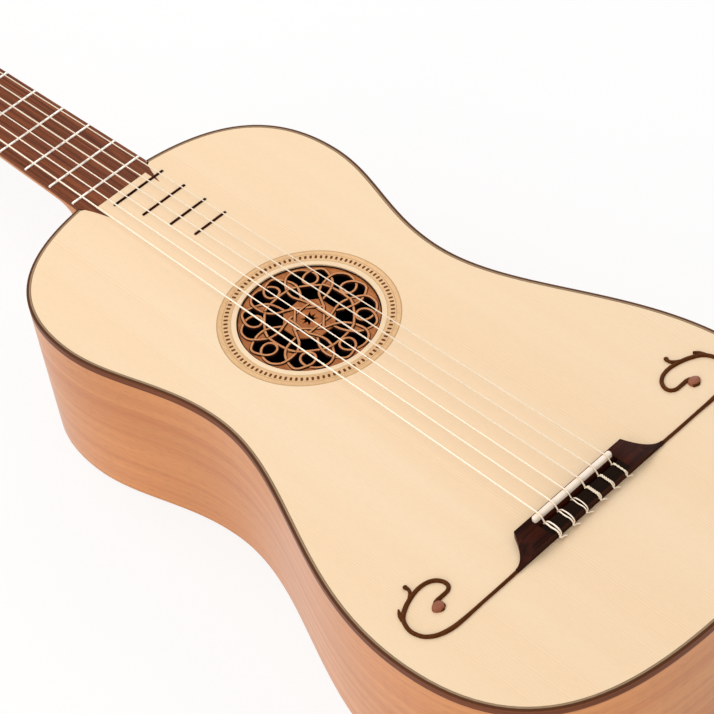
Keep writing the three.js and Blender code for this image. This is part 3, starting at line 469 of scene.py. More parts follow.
def open_edges(bm):
    return [e for e in bm.edges if e.is_boundary]


def level_edges(bm, height):
    return [e for e in open_edges(bm) if all(abs(v.co.z - height) < 0.01 for v in e.verts)]


def close_up(bm):
    """Merge seams, then cap the open ends."""
    weld(bm, 0.002)
    bmesh.ops.dissolve_degenerate(bm, edges=bm.edges, dist=0.0005)
    bmesh.ops.holes_fill(bm, edges=open_edges(bm), sides=0)


def closed_form(rows, columns, place, paint=None):
    """A new form, draped over a grid and closed at its ends."""
    bm = bmesh.new()
    drape(bm, rows, columns, place, paint)
    close_up(bm)
    return bm


def loop_edges(bm, points):
    """Add a closed loop of edges through the points."""
    verts = [bm.verts.new(p) for p in points]
    return [bm.edges.new((verts[i - 1], verts[i])) for i in range(len(verts))]


def fill_flat(bm, edges):
    """Fill the flat region that edges bound with triangles."""
    return bmesh.ops.triangle_fill(bm, edges=edges, use_beauty=True)["geom"]


def fill_between(bm, *loops):
    """Fill a flat region bounded by an outer loop and any inner ones."""
    fill_flat(bm, [e for loop in loops for e in loop_edges(bm, loop)])


def verts_of(geometry):
    return [g for g in geometry if isinstance(g, bmesh.types.BMVert)]


def faces_of(geometry):
    return [g for g in geometry if isinstance(g, bmesh.types.BMFace)]


def raise_plate(bm, height):
    """Give flat faces a thickness."""
    new = bmesh.ops.extrude_face_region(bm, geom=list(bm.faces))["geom"]
    bmesh.ops.translate(bm, vec=(0, 0, height), verts=verts_of(new))


def pull_edges(bm, edges, offset=(0, 0, 0), scale=1.0, about=Vector()):
    """Extrude edges, then move and scale the new ones in plan."""
    new = bmesh.ops.extrude_edge_only(bm, edges=edges)["geom"]
    verts = verts_of(new)
    bmesh.ops.scale(bm, vec=(scale, scale, 1), verts=verts, space=Matrix.Translation(-about))
    bmesh.ops.translate(bm, vec=offset, verts=verts)
    return [g for g in new if isinstance(g, bmesh.types.BMEdge)]


def add_piece(bm, name, finishes, body="root", replaces=(), place=None, crease=CREASE, bevel=0.0,
              bevel_steps=2):
    """Turn a bmesh in millimetres into a finished piece of the guitar."""
    weld(bm)
    bmesh.ops.recalc_face_normals(bm, faces=bm.faces)
    bmesh.ops.transform(bm, matrix=TO_FRAME @ (place or Matrix.Identity(4)), verts=bm.verts)
    mesh = bpy.data.meshes.new(name)
    bm.to_mesh(mesh)
    bm.free()
    mesh.shade_smooth()
    mesh.set_sharp_from_angle(angle=math.radians(crease))
    piece = bpy.data.objects.new(name, mesh)
    bpy.context.scene.collection.objects.link(piece)
    for kind in finishes:
        mesh.materials.append(finish(kind))
    if bevel:
        rounding = piece.modifiers.new("edge rounding", "BEVEL")
        rounding.width = bevel * MM
        rounding.segments = bevel_steps
        rounding.limit_method = "ANGLE"
        rounding.angle_limit = math.radians(CREASE)
        rounding.use_clamp_overlap = True
        rounding.harden_normals = True
    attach(piece, body)
    if replaces:
        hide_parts(*replaces)
    return piece


def smooth_route(points, steps, closed=False):
    """Points on a smooth curve through the given ones."""
    points = [Vector(p) for p in points]
    count = len(points)
    route = []
    for i in range(count if closed else count - 1):
        near = [(i + k) % count if closed else min(max(i + k, 0), count - 1) for k in (-1, 0, 1, 2)]
        before, a, b, after = (points[n] for n in near)
        route += interpolate_bezier(a, a + (b - before) / 6, b - (after - a) / 6, b, steps + 1)[:-1]
    if not closed:
        route.append(points[-1])
    return route


def run_lengths(route):
    """Distance along a route at each of its points."""
    reached = [0.0]
    for a, b in zip(route, route[1:]):
        reached.append(reached[-1] + (b - a).length)
    return reached


def direction_at(route, i, closed=False):
    count = len(route)
    if closed:
        return (route[(i + 1) % count] - route[i - 1]).normalized()
    return (route[min(i + 1, count - 1)] - route[max(i - 1, 0)]).normalized()


def sweep(bm, path, section, spot, closed=False, paint=None):
    """Carry a section along a path; spot gives the place of a section's point at a step."""
    count, rounds = len(path), len(section)
    runs = run_lengths(path + path[:1] if closed else path)
    ring = run_lengths([Vector((*p, 0)) for p in section + section[:1]])
    drape(bm, count if closed else count - 1, rounds,
          lambda row, column: spot(row % count, *section[column % rounds]),
          paint=(lambda row, column: paint[column]) if paint else None,
          chart=lambda row, column: (runs[row] * MM, ring[column] * MM))


def lay_strand(bm, route, section, closed=False, widths=None, paint=None):
    """Sweep an upright section along a route that lies nearly flat. Sections give (across, up)."""
    def spot(row, across, up):
        heading = direction_at(route, row, closed)
        side = Vector((-heading.y, heading.x, 0)).normalized()
        return route[row] + side * across * (widths[row] if widths else 1.0) + Vector((0, 0, up))

    sweep(bm, route, section, spot, closed, paint)


def lay_tube(bm, route, radius, sides=10):
    """Sweep a round section along a route in space, without twist."""
    across = direction_at(route, 0).orthogonal().normalized()
    frames = []
    for i in range(len(route)):
        heading = direction_at(route, i)
        across = (across - heading * across.dot(heading)).normalized()
        frames.append((across.copy(), heading.cross(across)))
    runs = run_lengths(route)

    def place(row, column):
        a, b = frames[row]
        turn = 2 * math.pi * column / sides
        return route[row] + (a * math.cos(turn) + b * math.sin(turn)) * radius

    drape(bm, len(route) - 1, sides, place,
          chart=lambda row, column: (runs[row] * MM, column * 2 * math.pi * radius / sides * MM))


# The body's edge

def treble_edge():
    """Points of the treble half of the body's edge, four smooth bends from the neck joint to the tail."""
    upper, waist, lower = SHOULDER_Y - UPPER_Y, UPPER_Y - WAIST_Y, WAIST_Y - LOWER_Y
    corners = [
        (0, SHOULDER_Y), (0.70 * UPPER_HALF, SHOULDER_Y), (UPPER_HALF, UPPER_Y + 0.65 * upper),
        (UPPER_HALF, UPPER_Y), (UPPER_HALF, UPPER_Y - 0.34 * waist), (WAIST_HALF, WAIST_Y + 0.40 * waist),
        (WAIST_HALF, WAIST_Y), (WAIST_HALF, WAIST_Y - 0.32 * lower), (LOWER_HALF, LOWER_Y + 0.41 * lower),
        (LOWER_HALF, LOWER_Y), (LOWER_HALF, LOWER_Y - 0.83 * (LOWER_Y - TAIL_Y)), (0.57 * LOWER_HALF, TAIL_Y),
        (0, TAIL_Y)]
    corners = [Vector((*corner, 0)) for corner in corners]
    points = []
    for k in range(0, len(corners) - 1, 3):
        points += interpolate_bezier(*corners[k:k + 4], 33)[:-1]
    return points + corners[-1:]


def whole_edge():
    """The body's edge as a closed loop of (point, inward direction), clockwise from the neck."""
    half = treble_edge()
    loop = half + mirrored(half[1:-1])
    headings = [direction_at(loop, i, closed=True) for i in range(len(loop))]
    return [(p, Vector((h.y, -h.x, 0))) for p, h in zip(loop, headings)]


EDGE = whole_edge()


def open_edge(start):
    """The edge from this far off the middle line on the treble side, round the tail, to the bass side."""
    stretch = [(p, inward) for p, inward in EDGE if not (p.y > UPPER_Y and abs(p.x) <= start)]
    ends = []
    for i, (p, inward) in enumerate(EDGE):
        before, inward_before = EDGE[i - 1]
        low, high = sorted((abs(p.x), abs(before.x)))
        if p.y > UPPER_Y and low <= start < high and p.x * before.x >= 0:
            share = (start - abs(before.x)) / (abs(p.x) - abs(before.x))
            ends.append((before.lerp(p, share), inward_before.lerp(inward, share).normalized()))
    treble_end, bass_end = sorted(ends, key=lambda end: -end[0].x)
    first = next(i for i, (p, inward) in enumerate(stretch) if p.x > 0)
    return [treble_end] + stretch[first:] + stretch[:first] + [bass_end]


def edge_spot(run, row, inset, height):
    point, inward = run[row]
    return point + inward * inset + Vector((0, 0, height))


def edge_strip(bm, run, section, paint=None):
    """Sweep a section of (inset, height) points along the body's edge."""
    points = [point for point, inward in run]
    sweep(bm, points, section, lambda row, *spot: edge_spot(run, row, *spot), paint=paint)


def joint_y():
    return open_edge(JOINT_HALF)[0][0].y


def neck_half(y):
    return JOINT_HALF + (NUT_HALF - JOINT_HALF) * (y - joint_y()) / (STRING_LENGTH - joint_y())


def board_tips(grow):
    """The fingerboard's end on the body, from its treble edge round both points to the bass edge."""
    end_y = joint_y() - BOARD_OVERLAP
    tip_y = end_y - POINT_LENGTH
    start = Vector((JOINT_HALF + grow, joint_y(), 0))
    tip = Vector((POINT_X, tip_y - grow, 0))
    bow = Vector((start.x + 0.55 * (tip.x - start.x), start.y + 0.36 * (tip.y - start.y), 0))
    half = interpolate_bezier(start, start.lerp(bow, 2 / 3), tip.lerp(bow, 2 / 3), tip, 13)
    if grow:
        half.append(Vector((POINT_X - grow, tip_y - grow, 0)))
    half.append(Vector((POINT_X - grow, end_y - grow, 0)))
    return half + mirrored(half)


def rose_point(radius, turn):
    return Vector((radius * math.sin(turn), ROSE_Y + radius * math.cos(turn), 0))


def rose_circle(radius, steps):
    return [rose_point(radius, 2 * math.pi * i / steps) for i in range(steps)]


# Operators

class GUITAR_OT_soundboard(bpy.types.Operator):
    """Soundboard with the opening for the rose and the groove for the rosette"""
    bl_idname = "guitar.soundboard"
    bl_label = "Soundboard"

    def execute(self, context):
        bm = bmesh.new()
        edge = [point + inward * (EDGE_WIDTH - JOINT_GAP) for point, inward in open_edge(JOINT_HALF)]
        edge[0].x, edge[-1].x = JOINT_HALF, -JOINT_HALF
        pocket = [p for p in board_tips(0.08) if p.y < edge[0].y - 0.3]
        outline = edge + [Vector((-JOINT_HALF, edge[-1].y - 0.1, 0))]
        outline += list(reversed(pocket)) + [Vector((JOINT_HALF, edge[0].y - 0.1, 0))]
        inner, outer = GROOVE_RADII
        fill_between(bm, outline, rose_circle(outer, 120))
        middle = Vector((0, ROSE_Y, 0))
        rim = [e for e in open_edges(bm) if all((v.co - middle).length < outer + 0.1 for v in e.verts)]
        rim = pull_edges(bm, rim, offset=(0, 0, -GROOVE_DEPTH))
        rim = pull_edges(bm, rim, scale=inner / outer, about=middle)
        rim = pull_edges(bm, rim, offset=(0, 0, GROOVE_DEPTH))
        rim = pull_edges(bm, rim, scale=HOLE_RADIUS / inner, about=middle)
        pull_edges(bm, rim, offset=(0, 0, -PLATE))
        pull_edges(bm, level_edges(bm, 0), offset=(0, 0, -PLATE))
        weld(bm)
        fill_flat(bm, open_edges(bm))
        add_piece(bm, "spruce_soundboard", ["quartersawn_spruce"], replaces=("soundboard",))
        return {"FINISHED"}


class GUITAR_OT_edging(bpy.types.Operator):
    """Binding and purfling round the soundboard"""
    bl_idname = "guitar.edging"
    bl_label = "Edging"

    def execute(self, context):
        r = sizes().edge_round / MM
        bm = bmesh.new()
        corner = [(r - r * math.cos(a), r * math.sin(a) - r) for a in steps_to(math.pi / 2, 5)]
        section = [(0.0, -BINDING_HEIGHT), *corner, (BINDING_WIDTH, 0.0), (BINDING_WIDTH, -BINDING_HEIGHT)]
        edge_strip(bm, open_edge(JOINT_HALF + 0.3), section, paint=[0, 0, 0, 1, 1, 1, 1, 0, 0])
        close_up(bm)
        add_piece(bm, "rosewood_binding", ["bent_rosewood_edging", "dark_binding_face"],
                  replaces=("top_binding",))

        bm = bmesh.new()
        section = [(1.45, -1.6), (1.45, 0.0), (1.7, 0.0), (2.75, 0.0), (2.9, 0.0), (2.9, -1.6)]
        edge_strip(bm, open_edge(JOINT_HALF + 0.1), section, paint=[1, 1, 0, 1, 1, 0])
        close_up(bm)
        add_piece(bm, "purfling_lines", ["tan_line_veneer", "brown_line_veneer"],
                  replaces=("top_purfling",))
        return {"FINISHED"}


class GUITAR_OT_ribs(bpy.types.Operator):
    """The two bent ribs"""
    bl_idname = "guitar.ribs"
    bl_label = "Ribs"

    def execute(self, context):
        half = EDGE[:len(EDGE) // 2 + 1]
        bass = [EDGE[0]] + EDGE[:len(EDGE) // 2 - 1:-1]
        low, high = BACK_HIGH.z + JOINT_GAP, -BINDING_HEIGHT - JOINT_GAP
        for name, run in (("rib_treble", half), ("rib_bass", bass)):
            bm = bmesh.new()
            edge_strip(bm, run, [(0.0, low), (0.0, high), (RIB, high), (RIB, low)])
            close_up(bm)
            add_piece(bm, name + "_bent", ["bent_cherry"], replaces=(name,))
        return {"FINISHED"}


class GUITAR_OT_back(bpy.types.Operator):
    """Flat back with bevelled corners, painted dark inside as shade"""
    bl_idname = "guitar.back"
    bl_label = "Back"

    def execute(self, context):
        low, high = BACK_LOW.z, BACK_HIGH.z
        bm = bmesh.new()
        section = [(0.0, high), (0.0, low + 1.2), (0.35, low + 0.35), (1.2, low)]
        count = len(EDGE)
        drape(bm, count, len(section) - 1,
              lambda row, column: edge_spot(EDGE, row % count, *section[column]))
        weld(bm)
        for level in (low, high):
            filled = fill_flat(bm, level_edges(bm, level))
        # The inner face is painted nearly black: painted shade inside the body
        for face in faces_of(filled):
            face.material_index = 1
        add_piece(bm, "two_piece_back", ["quartered_cherry", "sooted_spruce"], replaces=("back",))
        return {"FINISHED"}


class GUITAR_OT_rosette(bpy.types.Operator):
    """Inlaid rings and dark slots round the rose"""
    bl_idname = "guitar.rosette"
    bl_label = "Rosette"

    def execute(self, context):
        radii = [45.8, 46.3, 47.05, 47.6, 47.95, 49.85, 50.2, 50.8, 51.3, 53.6, 54.2]
        count = sizes().inlay_count
        shares = (0.0, 0.12, 0.36, 0.48)
        slot_low, slot_high = 3, 6

        def place(row, column):
            share = column // 4 + shares[column % 4]
            radius = radii[row]
            if column % 4 in (0, 3):
                radius = radii[row + 1] if row == slot_low else radii[row - 1] if row == slot_high else radius
            return rose_point(radius, 2 * math.pi * share / count)

        def paint(row, column):
            if slot_low <= row < slot_high and column % 4 < 3:
                return 1
            return (2, 0, 0, 0, 0, 0, 0, 3, 0, 3)[row]

        bm = bmesh.new()
        drape(bm, len(radii) - 1, 4 * count, place, paint=paint)
        weld(bm)
        pull_edges(bm, open_edges(bm), offset=(0, 0, -1.0))
        fill_flat(bm, open_edges(bm))
        add_piece(bm, "inlaid_rosette",
                  ["pale_maple_inlay", "brown_slot_veneer", "tan_ring_veneer", "amber_ring_veneer"],
                  replaces=("rosette_ring",))
        return {"FINISHED"}


# One strand of the rose in one of its eight folds: across clockwise, outward, and lift
ROSE_STRAND = (
    (1.2, 11.5, -1), (-2.8, 13.4, 0.3), (-5.0, 14.6, 1), (-7.0, 15.6, 0.6), (-10.2, 17.8, -0.2),
    (-12.6, 20.9, -0.8), (-13.7, 23.3, -1), (-14.3, 25.6, -0.5), (-14.8, 29.0, 0.4), (-14.75, 31.8, 1),
    (-14.2, 34.2, 0.7), (-12.6, 36.6, 0.2), (-9.0, 39.1, 0), (-5.0, 39.5, -0.3), (-1.0, 38.4, -1),
    (2.4, 36.4, -0.3), (4.4, 33.0, 0), (4.0, 29.6, 0), (1.6, 27.6, 0), (-1.6, 27.6, 0),
    (-4.0, 29.6, 0), (-4.4, 33.0, 0), (-2.4, 36.4, 0.3), (1.0, 38.4, 1), (5.0, 39.6, 0.3),
    (8.0, 39.0, 0), (10.2, 36.4, -0.5), (12.0, 33.0, -1), (13.2, 29.0, -0.2), (13.2, 25.5, 0.7),
    (12.8, 23.7, 1), (12.2, 22.0, 0.7), (10.4, 18.6, -0.2), (8.3, 15.8, -0.9), (6.8, 13.9, -1),
)
RIM_SCALLOP = ((-14.7, 32.3), (-12.6, 36.6), (-9, 39.1), (-5, 39.5), (0, 38.7), (5, 39.6), (8, 39.0),
               (10.2, 36.4), (11.8, 33.5))
KNOT_PATCH = ((12, 33), (13.2, 29), (13.3, 26.6), (10.4, 25.2), (6.8, 26.4), (8.3, 29.2), (10, 31.2))
MEDALLION_SCALLOP = ((-6.4, 15.6), (-3.5, 15.3), (0, 15.2), (3.5, 15.3))


class GUITAR_OT_rose(bpy.types.Operator):
    """Carved rose of eight interlaced strands round a star"""
    bl_idname = "guitar.rose"
    bl_label = "Rose"

    def execute(self, context):
        half = sizes().strand_width / MM / 2
        lift = sizes().strand_lift / MM
        face, floor_z, plate_z = -0.78, -2.45, -2.5
        right = [(half * 0.28, face), (half * 0.60, face - 0.12), (half, face - 0.45), (half, floor_z)]
        section = [(-across, up) for across, up in reversed(right)] + right
        # The strands' sides and floor take the dark wood: painted shade along their edges
        paint = [1, 1, 0, 0, 0, 1, 1, 1]

        def fold_point(fold, across, outward, up=0.0):
            turn = math.pi / 4 * fold
            return Vector((across * math.cos(turn) + outward * math.sin(turn),
                           ROSE_Y - across * math.sin(turn) + outward * math.cos(turn), up))

        bm = bmesh.new()
        circle = []
        for fold in range(8):
            strand = [fold_point(fold, x, y, up * lift) for x, y, up in ROSE_STRAND]
            lay_strand(bm, smooth_route(strand, 5), section, paint=paint)
            for x, y, up in ((-8.6, 25.4, 0.2), (0, 26.3, 0), (8.0, 25.9, -0.3), (12.6, 24.4, -1)):
                circle.append(fold_point(fold, x, y, up * lift))
            circle.append(fold_point(fold + 1, -13.5, 23.7, lift))
            side = [fold_point(fold, x, 8.5, up * lift) for x, up in (
                (-8.5, 0), (-6.0, -0.3), (-3.52, -1), (0, 0), (3.52, 1), (6.0, 0.3), (8.5, 0))]
            lay_strand(bm, smooth_route(side, 3), section, paint=paint)
        lay_strand(bm, smooth_route(circle, 5, closed=True), section, closed=True, paint=paint)
        # A thin dark ring round the rose's edge: painted shade in the gap at its rim
        rim = [(-0.25, floor_z), (-0.25, face), (0.25, face), (0.25, floor_z)]
        lay_strand(bm, rose_circle(ROSE_RADIUS - 0.3, 96), rim, closed=True, paint=[1, 1, 1, 1])
        close_up(bm)
        add_piece(bm, "rose_strands", ["carved_pearwood", "burnt_pearwood"], replaces=("rose",))

        bm = bmesh.new()
        scallop = [fold_point(fold, x, y) for fold in range(8) for x, y in RIM_SCALLOP]
        fill_between(bm, rose_circle(ROSE_RADIUS, 96), smooth_route(scallop, 3, closed=True))
        star = [fold_point(k / 2, 0, 2.7 if k % 2 else 5.6) for k in range(16)]
        medallion = [fold_point(fold, x, y) for fold in range(8) for x, y in MEDALLION_SCALLOP]
        fill_between(bm, medallion, star)
        for fold in range(8):
            patch = smooth_route([fold_point(fold, x, y) for x, y in KNOT_PATCH], 2, closed=True)
            fill_between(bm, patch)
        bmesh.ops.translate(bm, vec=(0, 0, plate_z), verts=bm.verts)
        raise_plate(bm, 1.0)
        # The ground's darker tone is painted shade under the strands
        add_piece(bm, "rose_plate", ["sunk_pearwood"], bevel=0.12, bevel_steps=1)
        return {"FINISHED"}


class GUITAR_OT_bridge(bpy.types.Operator):
    """Bridge with its tie block and hollowed wings"""
    bl_idname = "guitar.bridge"
    bl_label = "Bridge"

    def execute(self, context):
        half, wing, back, front = BRIDGE_HALF, WING, BRIDGE_BACK, BRIDGE_FRONT
        steps, corners = 12, 11
        hollow = [(half + reach, False) for reach in steps_to(wing, steps)]
        stations = [(-x, slotted) for x, slotted in reversed(hollow)]
        stations += [(-SLOT_HALF, False), (-SLOT_HALF, True), (SLOT_HALF, True), (SLOT_HALF, False)] + hollow

        def section(x, slotted):
            share = min(1.0, max(0.0, (abs(x) - half) / wing))
            top = WING_TOP + (BLOCK_TOP - WING_TOP) * (1 - share) ** 2.2
            fore = front - (front + back - WING_DEPTH) * (1 - (1 - share) ** 1.9)
            low = CHANNEL_FLOOR if slotted else top
            depths = [-CHANNEL_BACK, -5.85, -3.45, -0.1]
            if share:
                depths = [-back + (y + back) * (fore + back) / (front + back) for y in depths]
            tie_y, foot_y, ramp_y, slot_y = depths
            heights = (low, low + 0.15, BLOCK_TOP - 0.1, SLOT_FLOOR) if slotted else (top,) * 4
            return [(-back, JOINT_GAP), (-back, top), (tie_y, top), (tie_y, heights[0]), (foot_y, heights[1]),
                    (ramp_y, heights[2]), (ramp_y, heights[3]), (slot_y, heights[3]), (slot_y, top),
                    (fore, top), (fore, JOINT_GAP)]

        def place(row, column):
            x, slotted = stations[row]
            y, z = section(x, slotted)[column % corners]
            return Vector((x, y, z))

        bm = closed_form(len(stations) - 1, corners, place,
                         lambda row, column: 1 if column == 1 and steps < row < steps + 4 else 0)
        add_piece(bm, "carved_bridge", ["waxed_dark_rosewood", "ebony"], replaces=("bridge",),
                  bevel=0.45, bevel_steps=3)
        return {"FINISHED"}


class GUITAR_OT_bones(bpy.types.Operator):
    """Bone saddle and bone nut"""
    bl_idname = "guitar.bones"
    bl_label = "Saddle and nut"

    def execute(self, context):
        profile = [(-3.4, 1.6), (-0.1, 1.6), (-0.1, 7.72), (-0.2, 7.9), (-0.45, 7.99), (-1.7, 7.99),
                   (-2.5, 7.85), (-2.95, 7.5), (-3.25, 6.9), (-3.4, 6.2)]
        middle, bend = -1.75, 1.5
        ends = [(SADDLE_HALF - bend + bend * math.sin(a), math.cos(a)) for a in steps_to(math.pi / 2, 5)]
        stations = [(-x, s) for x, s in reversed(ends)] + ends

        def place(row, column):
            x, fullness = stations[row]
            y, z = profile[column % len(profile)]
            width = 0.25 + 0.75 * fullness
            drop = 0.7 * (1 - fullness) if z > 6.5 else 0
            return Vector((x, middle + (y - middle) * width, z - drop))

        bm = closed_form(len(stations) - 1, len(profile), place)
        add_piece(bm, "bone_saddle", ["polished_bone"], replaces=("saddle",), crease=50)

        strings = [string_x(number, NUT_SPREAD) for number in range(1, 7)]
        notches = {x + d for x in strings for d in (-0.75, -0.5, 0.0, 0.5, 0.75)}
        marks = sorted(notches | {-NUT_HALF, NUT_HALF})
        crown = [(4.9, 0.3), (4.2, 0.62), (2.5, 1.26), (0.9, 1.78), (0.35, 1.86), (0.0, 1.7)]
        nut_profile = [(0.0, -2.6), (4.9, -2.6)] + crown

        def nut_place(row, column):
            x = marks[row]
            y, z = nut_profile[column % len(nut_profile)]
            notched = z > 0 and min(abs(x - s) for s in strings) < 0.6
            return Vector((x, STRING_LENGTH + y, z - (0.28 if notched else 0)))

        bm = closed_form(len(marks) - 1, len(nut_profile), nut_place)
        add_piece(bm, "bone_nut", ["polished_bone"], replaces=("nut",), crease=30)
        return {"FINISHED"}


# A moustache in shares of its reach: along the bridge's line, and toward the head
SCROLL = ((0, 0.016), (0.17, 0.014), (0.41, 0.014), (0.60, 0.013), (0.735, 0.022), (0.850, 0.058),
          (0.930, 0.122), (0.965, 0.210), (0.961, 0.292), (0.918, 0.379), (0.840, 0.434), (0.749, 0.471),
          (0.640, 0.493), (0.548, 0.484), (0.484, 0.447), (0.449, 0.388), (0.452, 0.335), (0.493, 0.303),
          (0.562, 0.299), (0.623, 0.297), (0.666, 0.272), (0.680, 0.234), (0.650, 0.208), (0.606, 0.223))
BUD = (0.650, 0.247)
SCROLL_WIDTHS = (1.0, 0.95, 0.95, 1.2, 1.4, 1.3, 1.2, 1.2, 1.2, 1.3, 1.35, 1.25,
                 1.2, 1.2, 1.25, 1.2, 1.2, 1.15, 1.2, 1.3, 1.4, 1.3, 1.1, 0.6)
TWIG = ((0.760, 0.466), (0.711, 0.505), (0.688, 0.542), (0.692, 0.578))
TWIG_WIDTHS = (1.2, 1.1, 0.95, 1.15)
SPUR = ((0.930, 0.365), (0.915, 0.418), (0.886, 0.460))
SPUR_WIDTHS = (1.5, 1.15, 0.6)


class GUITAR_OT_moustaches(bpy.types.Operator):
    """Scrolled moustaches that run out of the bridge's wings"""
    bl_idname = "guitar.moustaches"
    bl_label = "Moustaches"

    def execute(self, context):
        thick = 1.6
        section = [(math.cos(a), 0.1 + (thick - 0.1) * math.sin(a) ** 0.6) for a in steps_to(math.pi, 8)]
        for side, name in ((-1, "moustache_bass"), (1, "moustache_treble")):
            def on_top(share):
                return Vector((side * (SCROLL_ROOT + share[0] * SCROLL_REACHES[side]),
                               -BRIDGE_BACK + share[1] * SCROLL_REACHES[side], 0))

            bm = bmesh.new()
            for shares, widths in ((SCROLL, SCROLL_WIDTHS), (TWIG, TWIG_WIDTHS), (SPUR, SPUR_WIDTHS)):
                route = smooth_route([on_top(s) for s in shares], 6)
                spread = [w.x for w in smooth_route([Vector((w, 0, 0)) for w in widths], 6)]
                lay_strand(bm, route, section, widths=spread)
            close_up(bm)
            dome = bmesh.ops.create_uvsphere(bm, u_segments=16, v_segments=8, radius=1.0)["verts"]
            bmesh.ops.scale(bm, vec=(1.45, 1.45, 0.85), verts=dome)
            bmesh.ops.translate(bm, vec=on_top(TWIG[-1]) + Vector((0, 0, 0.85)), verts=dome)
            add_piece(bm, name + "_scroll", ["sawn_walnut"], replaces=(name,))

            bud, around = on_top(BUD), 24
            rings = [(0.0, 1.95), (0.35, 1.92), (0.7, 1.8), (0.92, 1.4), (1.0, 0.8), (1.0, 0.05)]

            def bud_place(row, column):
                share, height = rings[row]
                turn = 2 * math.pi * column / around
                point = 1 + 0.22 * max(0.0, math.cos(turn)) ** 4
                return bud + Vector((side * share * 3.6 * point * math.cos(turn),
                                     share * 3.5 * math.sin(turn), height))

            bm = closed_form(len(rings) - 1, around, bud_place)
            add_piece(bm, name + "_bud", ["plum_bud"])
        return {"FINISHED"}


class GUITAR_OT_fingerboard(bpy.types.Operator):
    """Fingerboard, flush with the soundboard, with two points at its end"""
    bl_idname = "guitar.fingerboard"
    bl_label = "Fingerboard"

    def execute(self, context):
        bm = bmesh.new()
        outline = [Vector((NUT_HALF, STRING_LENGTH - 0.1, 0))] + board_tips(0)
        outline.append(Vector((-NUT_HALF, STRING_LENGTH - 0.1, 0)))
        fill_between(bm, outline)
        raise_plate(bm, -BOARD_THICK)
        add_piece(bm, "rosewood_fingerboard", ["oiled_rosewood"], replaces=("fingerboard",),
                  bevel=0.2)
        return {"FINISHED"}


def fret_y(number):
    return STRING_LENGTH * 2 ** (-number / 12)


def lay_fret(low_x, high_x, number, width, height, slope):
    """A bar with a round crown and sloped ends."""
    stations = [(low_x, 0.15), (low_x + slope * 0.5, 0.75), (low_x + slope, 1.0),
                (high_x - slope, 1.0), (high_x - slope * 0.5, 0.75), (high_x, 0.15)]
    arc = [(width / 2 * math.cos(a), math.sin(a) ** 0.8) for a in steps_to(math.pi, 10)]

    def place(row, column):
        x, share = stations[row]
        across, up = arc[column % len(arc)]
        return Vector((x, fret_y(number) + across, JOINT_GAP + height * up * share))

    return closed_form(len(stations) - 1, len(arc), place)


class GUITAR_OT_frets(bpy.types.Operator):
    """Metal frets on the neck and dark wooden frets on the body"""
    bl_idname = "guitar.frets"
    bl_label = "Frets"

    def execute(self, context):
        for number in range(1, 10):
            reach = neck_half(fret_y(number)) - 0.3
            add_piece(lay_fret(-reach, reach, number, 1.9, 1.0, 0.7), f"crowned_fret_{number}",
                      ["drawn_nickel_silver"], replaces=(f"neck_fret_{number}",), crease=60)
        for number, bass_end in zip(range(10, 14), (-12, -6.2, -0.8, 2.9)):
            add_piece(lay_fret(bass_end, 28.6, number, 1.7, 0.9, 0.6), f"wooden_fret_{number}",
                      ["waxed_dark_rosewood"], replaces=(f"body_fret_{number}",), crease=60)
        return {"FINISHED"}


class GUITAR_OT_neck(bpy.types.Operator):
    """Neck with its heel"""
    bl_idname = "guitar.neck"
    bl_label = "Neck"

    def execute(self, context):
        start, end = SHOULDER_Y + 0.3, HEAD_Y + HEAD_THICK
        heel_depth = BODY_DEPTH + NECK_TOP - 3.3
        rows, arc = 72, 28

        def place(row, column):
            y = start + (end - start) * (row / rows) ** 2.4
            near = max(0.0, 1 - (y - start) / HEEL_LENGTH) ** 2.6
            depth = NECK_DEPTH + (heel_depth - NECK_DEPTH) * near
            half = max(neck_half(y), NUT_HALF)
            turn = math.pi * (column % (arc + 1)) / arc
            c = math.cos(turn)
            across = math.copysign(abs(c) ** (1 + 1.6 * near), c)
            return Vector((half * across, y, NECK_TOP - depth * math.sin(turn)))

        bm = bmesh.new()
        drape(bm, rows, arc + 1, place)
        weld(bm)
        cut_at = TO_HEAD @ Vector((0, -0.15, 0))
        bmesh.ops.bisect_plane(bm, geom=list(bm.verts) + list(bm.edges) + list(bm.faces),
                               plane_co=cut_at, plane_no=TO_HEAD.to_3x3() @ Vector((0, 1, 0)),
                               clear_outer=True)
        close_up(bm)
        add_piece(bm, "shaped_neck", ["quartered_cherry"], replaces=("neck",), crease=45)
        return {"FINISHED"}


HEAD_SHARES = ((0.70, 0), (0.74, 0.05), (0.88, 0.13), (0.92, 0.22), (0.95, 0.50), (1.0, 0.84),
               (0.97, 0.885), (0.86, 0.895), (0.80, 0.93), (0.66, 0.965), (0.46, 0.955), (0.34, 0.97),
               (0.18, 1.0))


def peg_spot(number):
    """The side that a peg stands on, and its place on the head's face."""
    side = 1 if number <= 3 else -1
    return side, Vector((side * PEG_OFFSET, 42.0 + 38.0 * min(number - 1, 6 - number), 0))


def peg_radius(height):
    return 3.5 + 0.9 * (PEG_END - height) / (PEG_END + HEAD_DEPTH)


def ring_point(radius, turn):
    return Vector((radius * math.cos(turn), radius * math.sin(turn), 0))


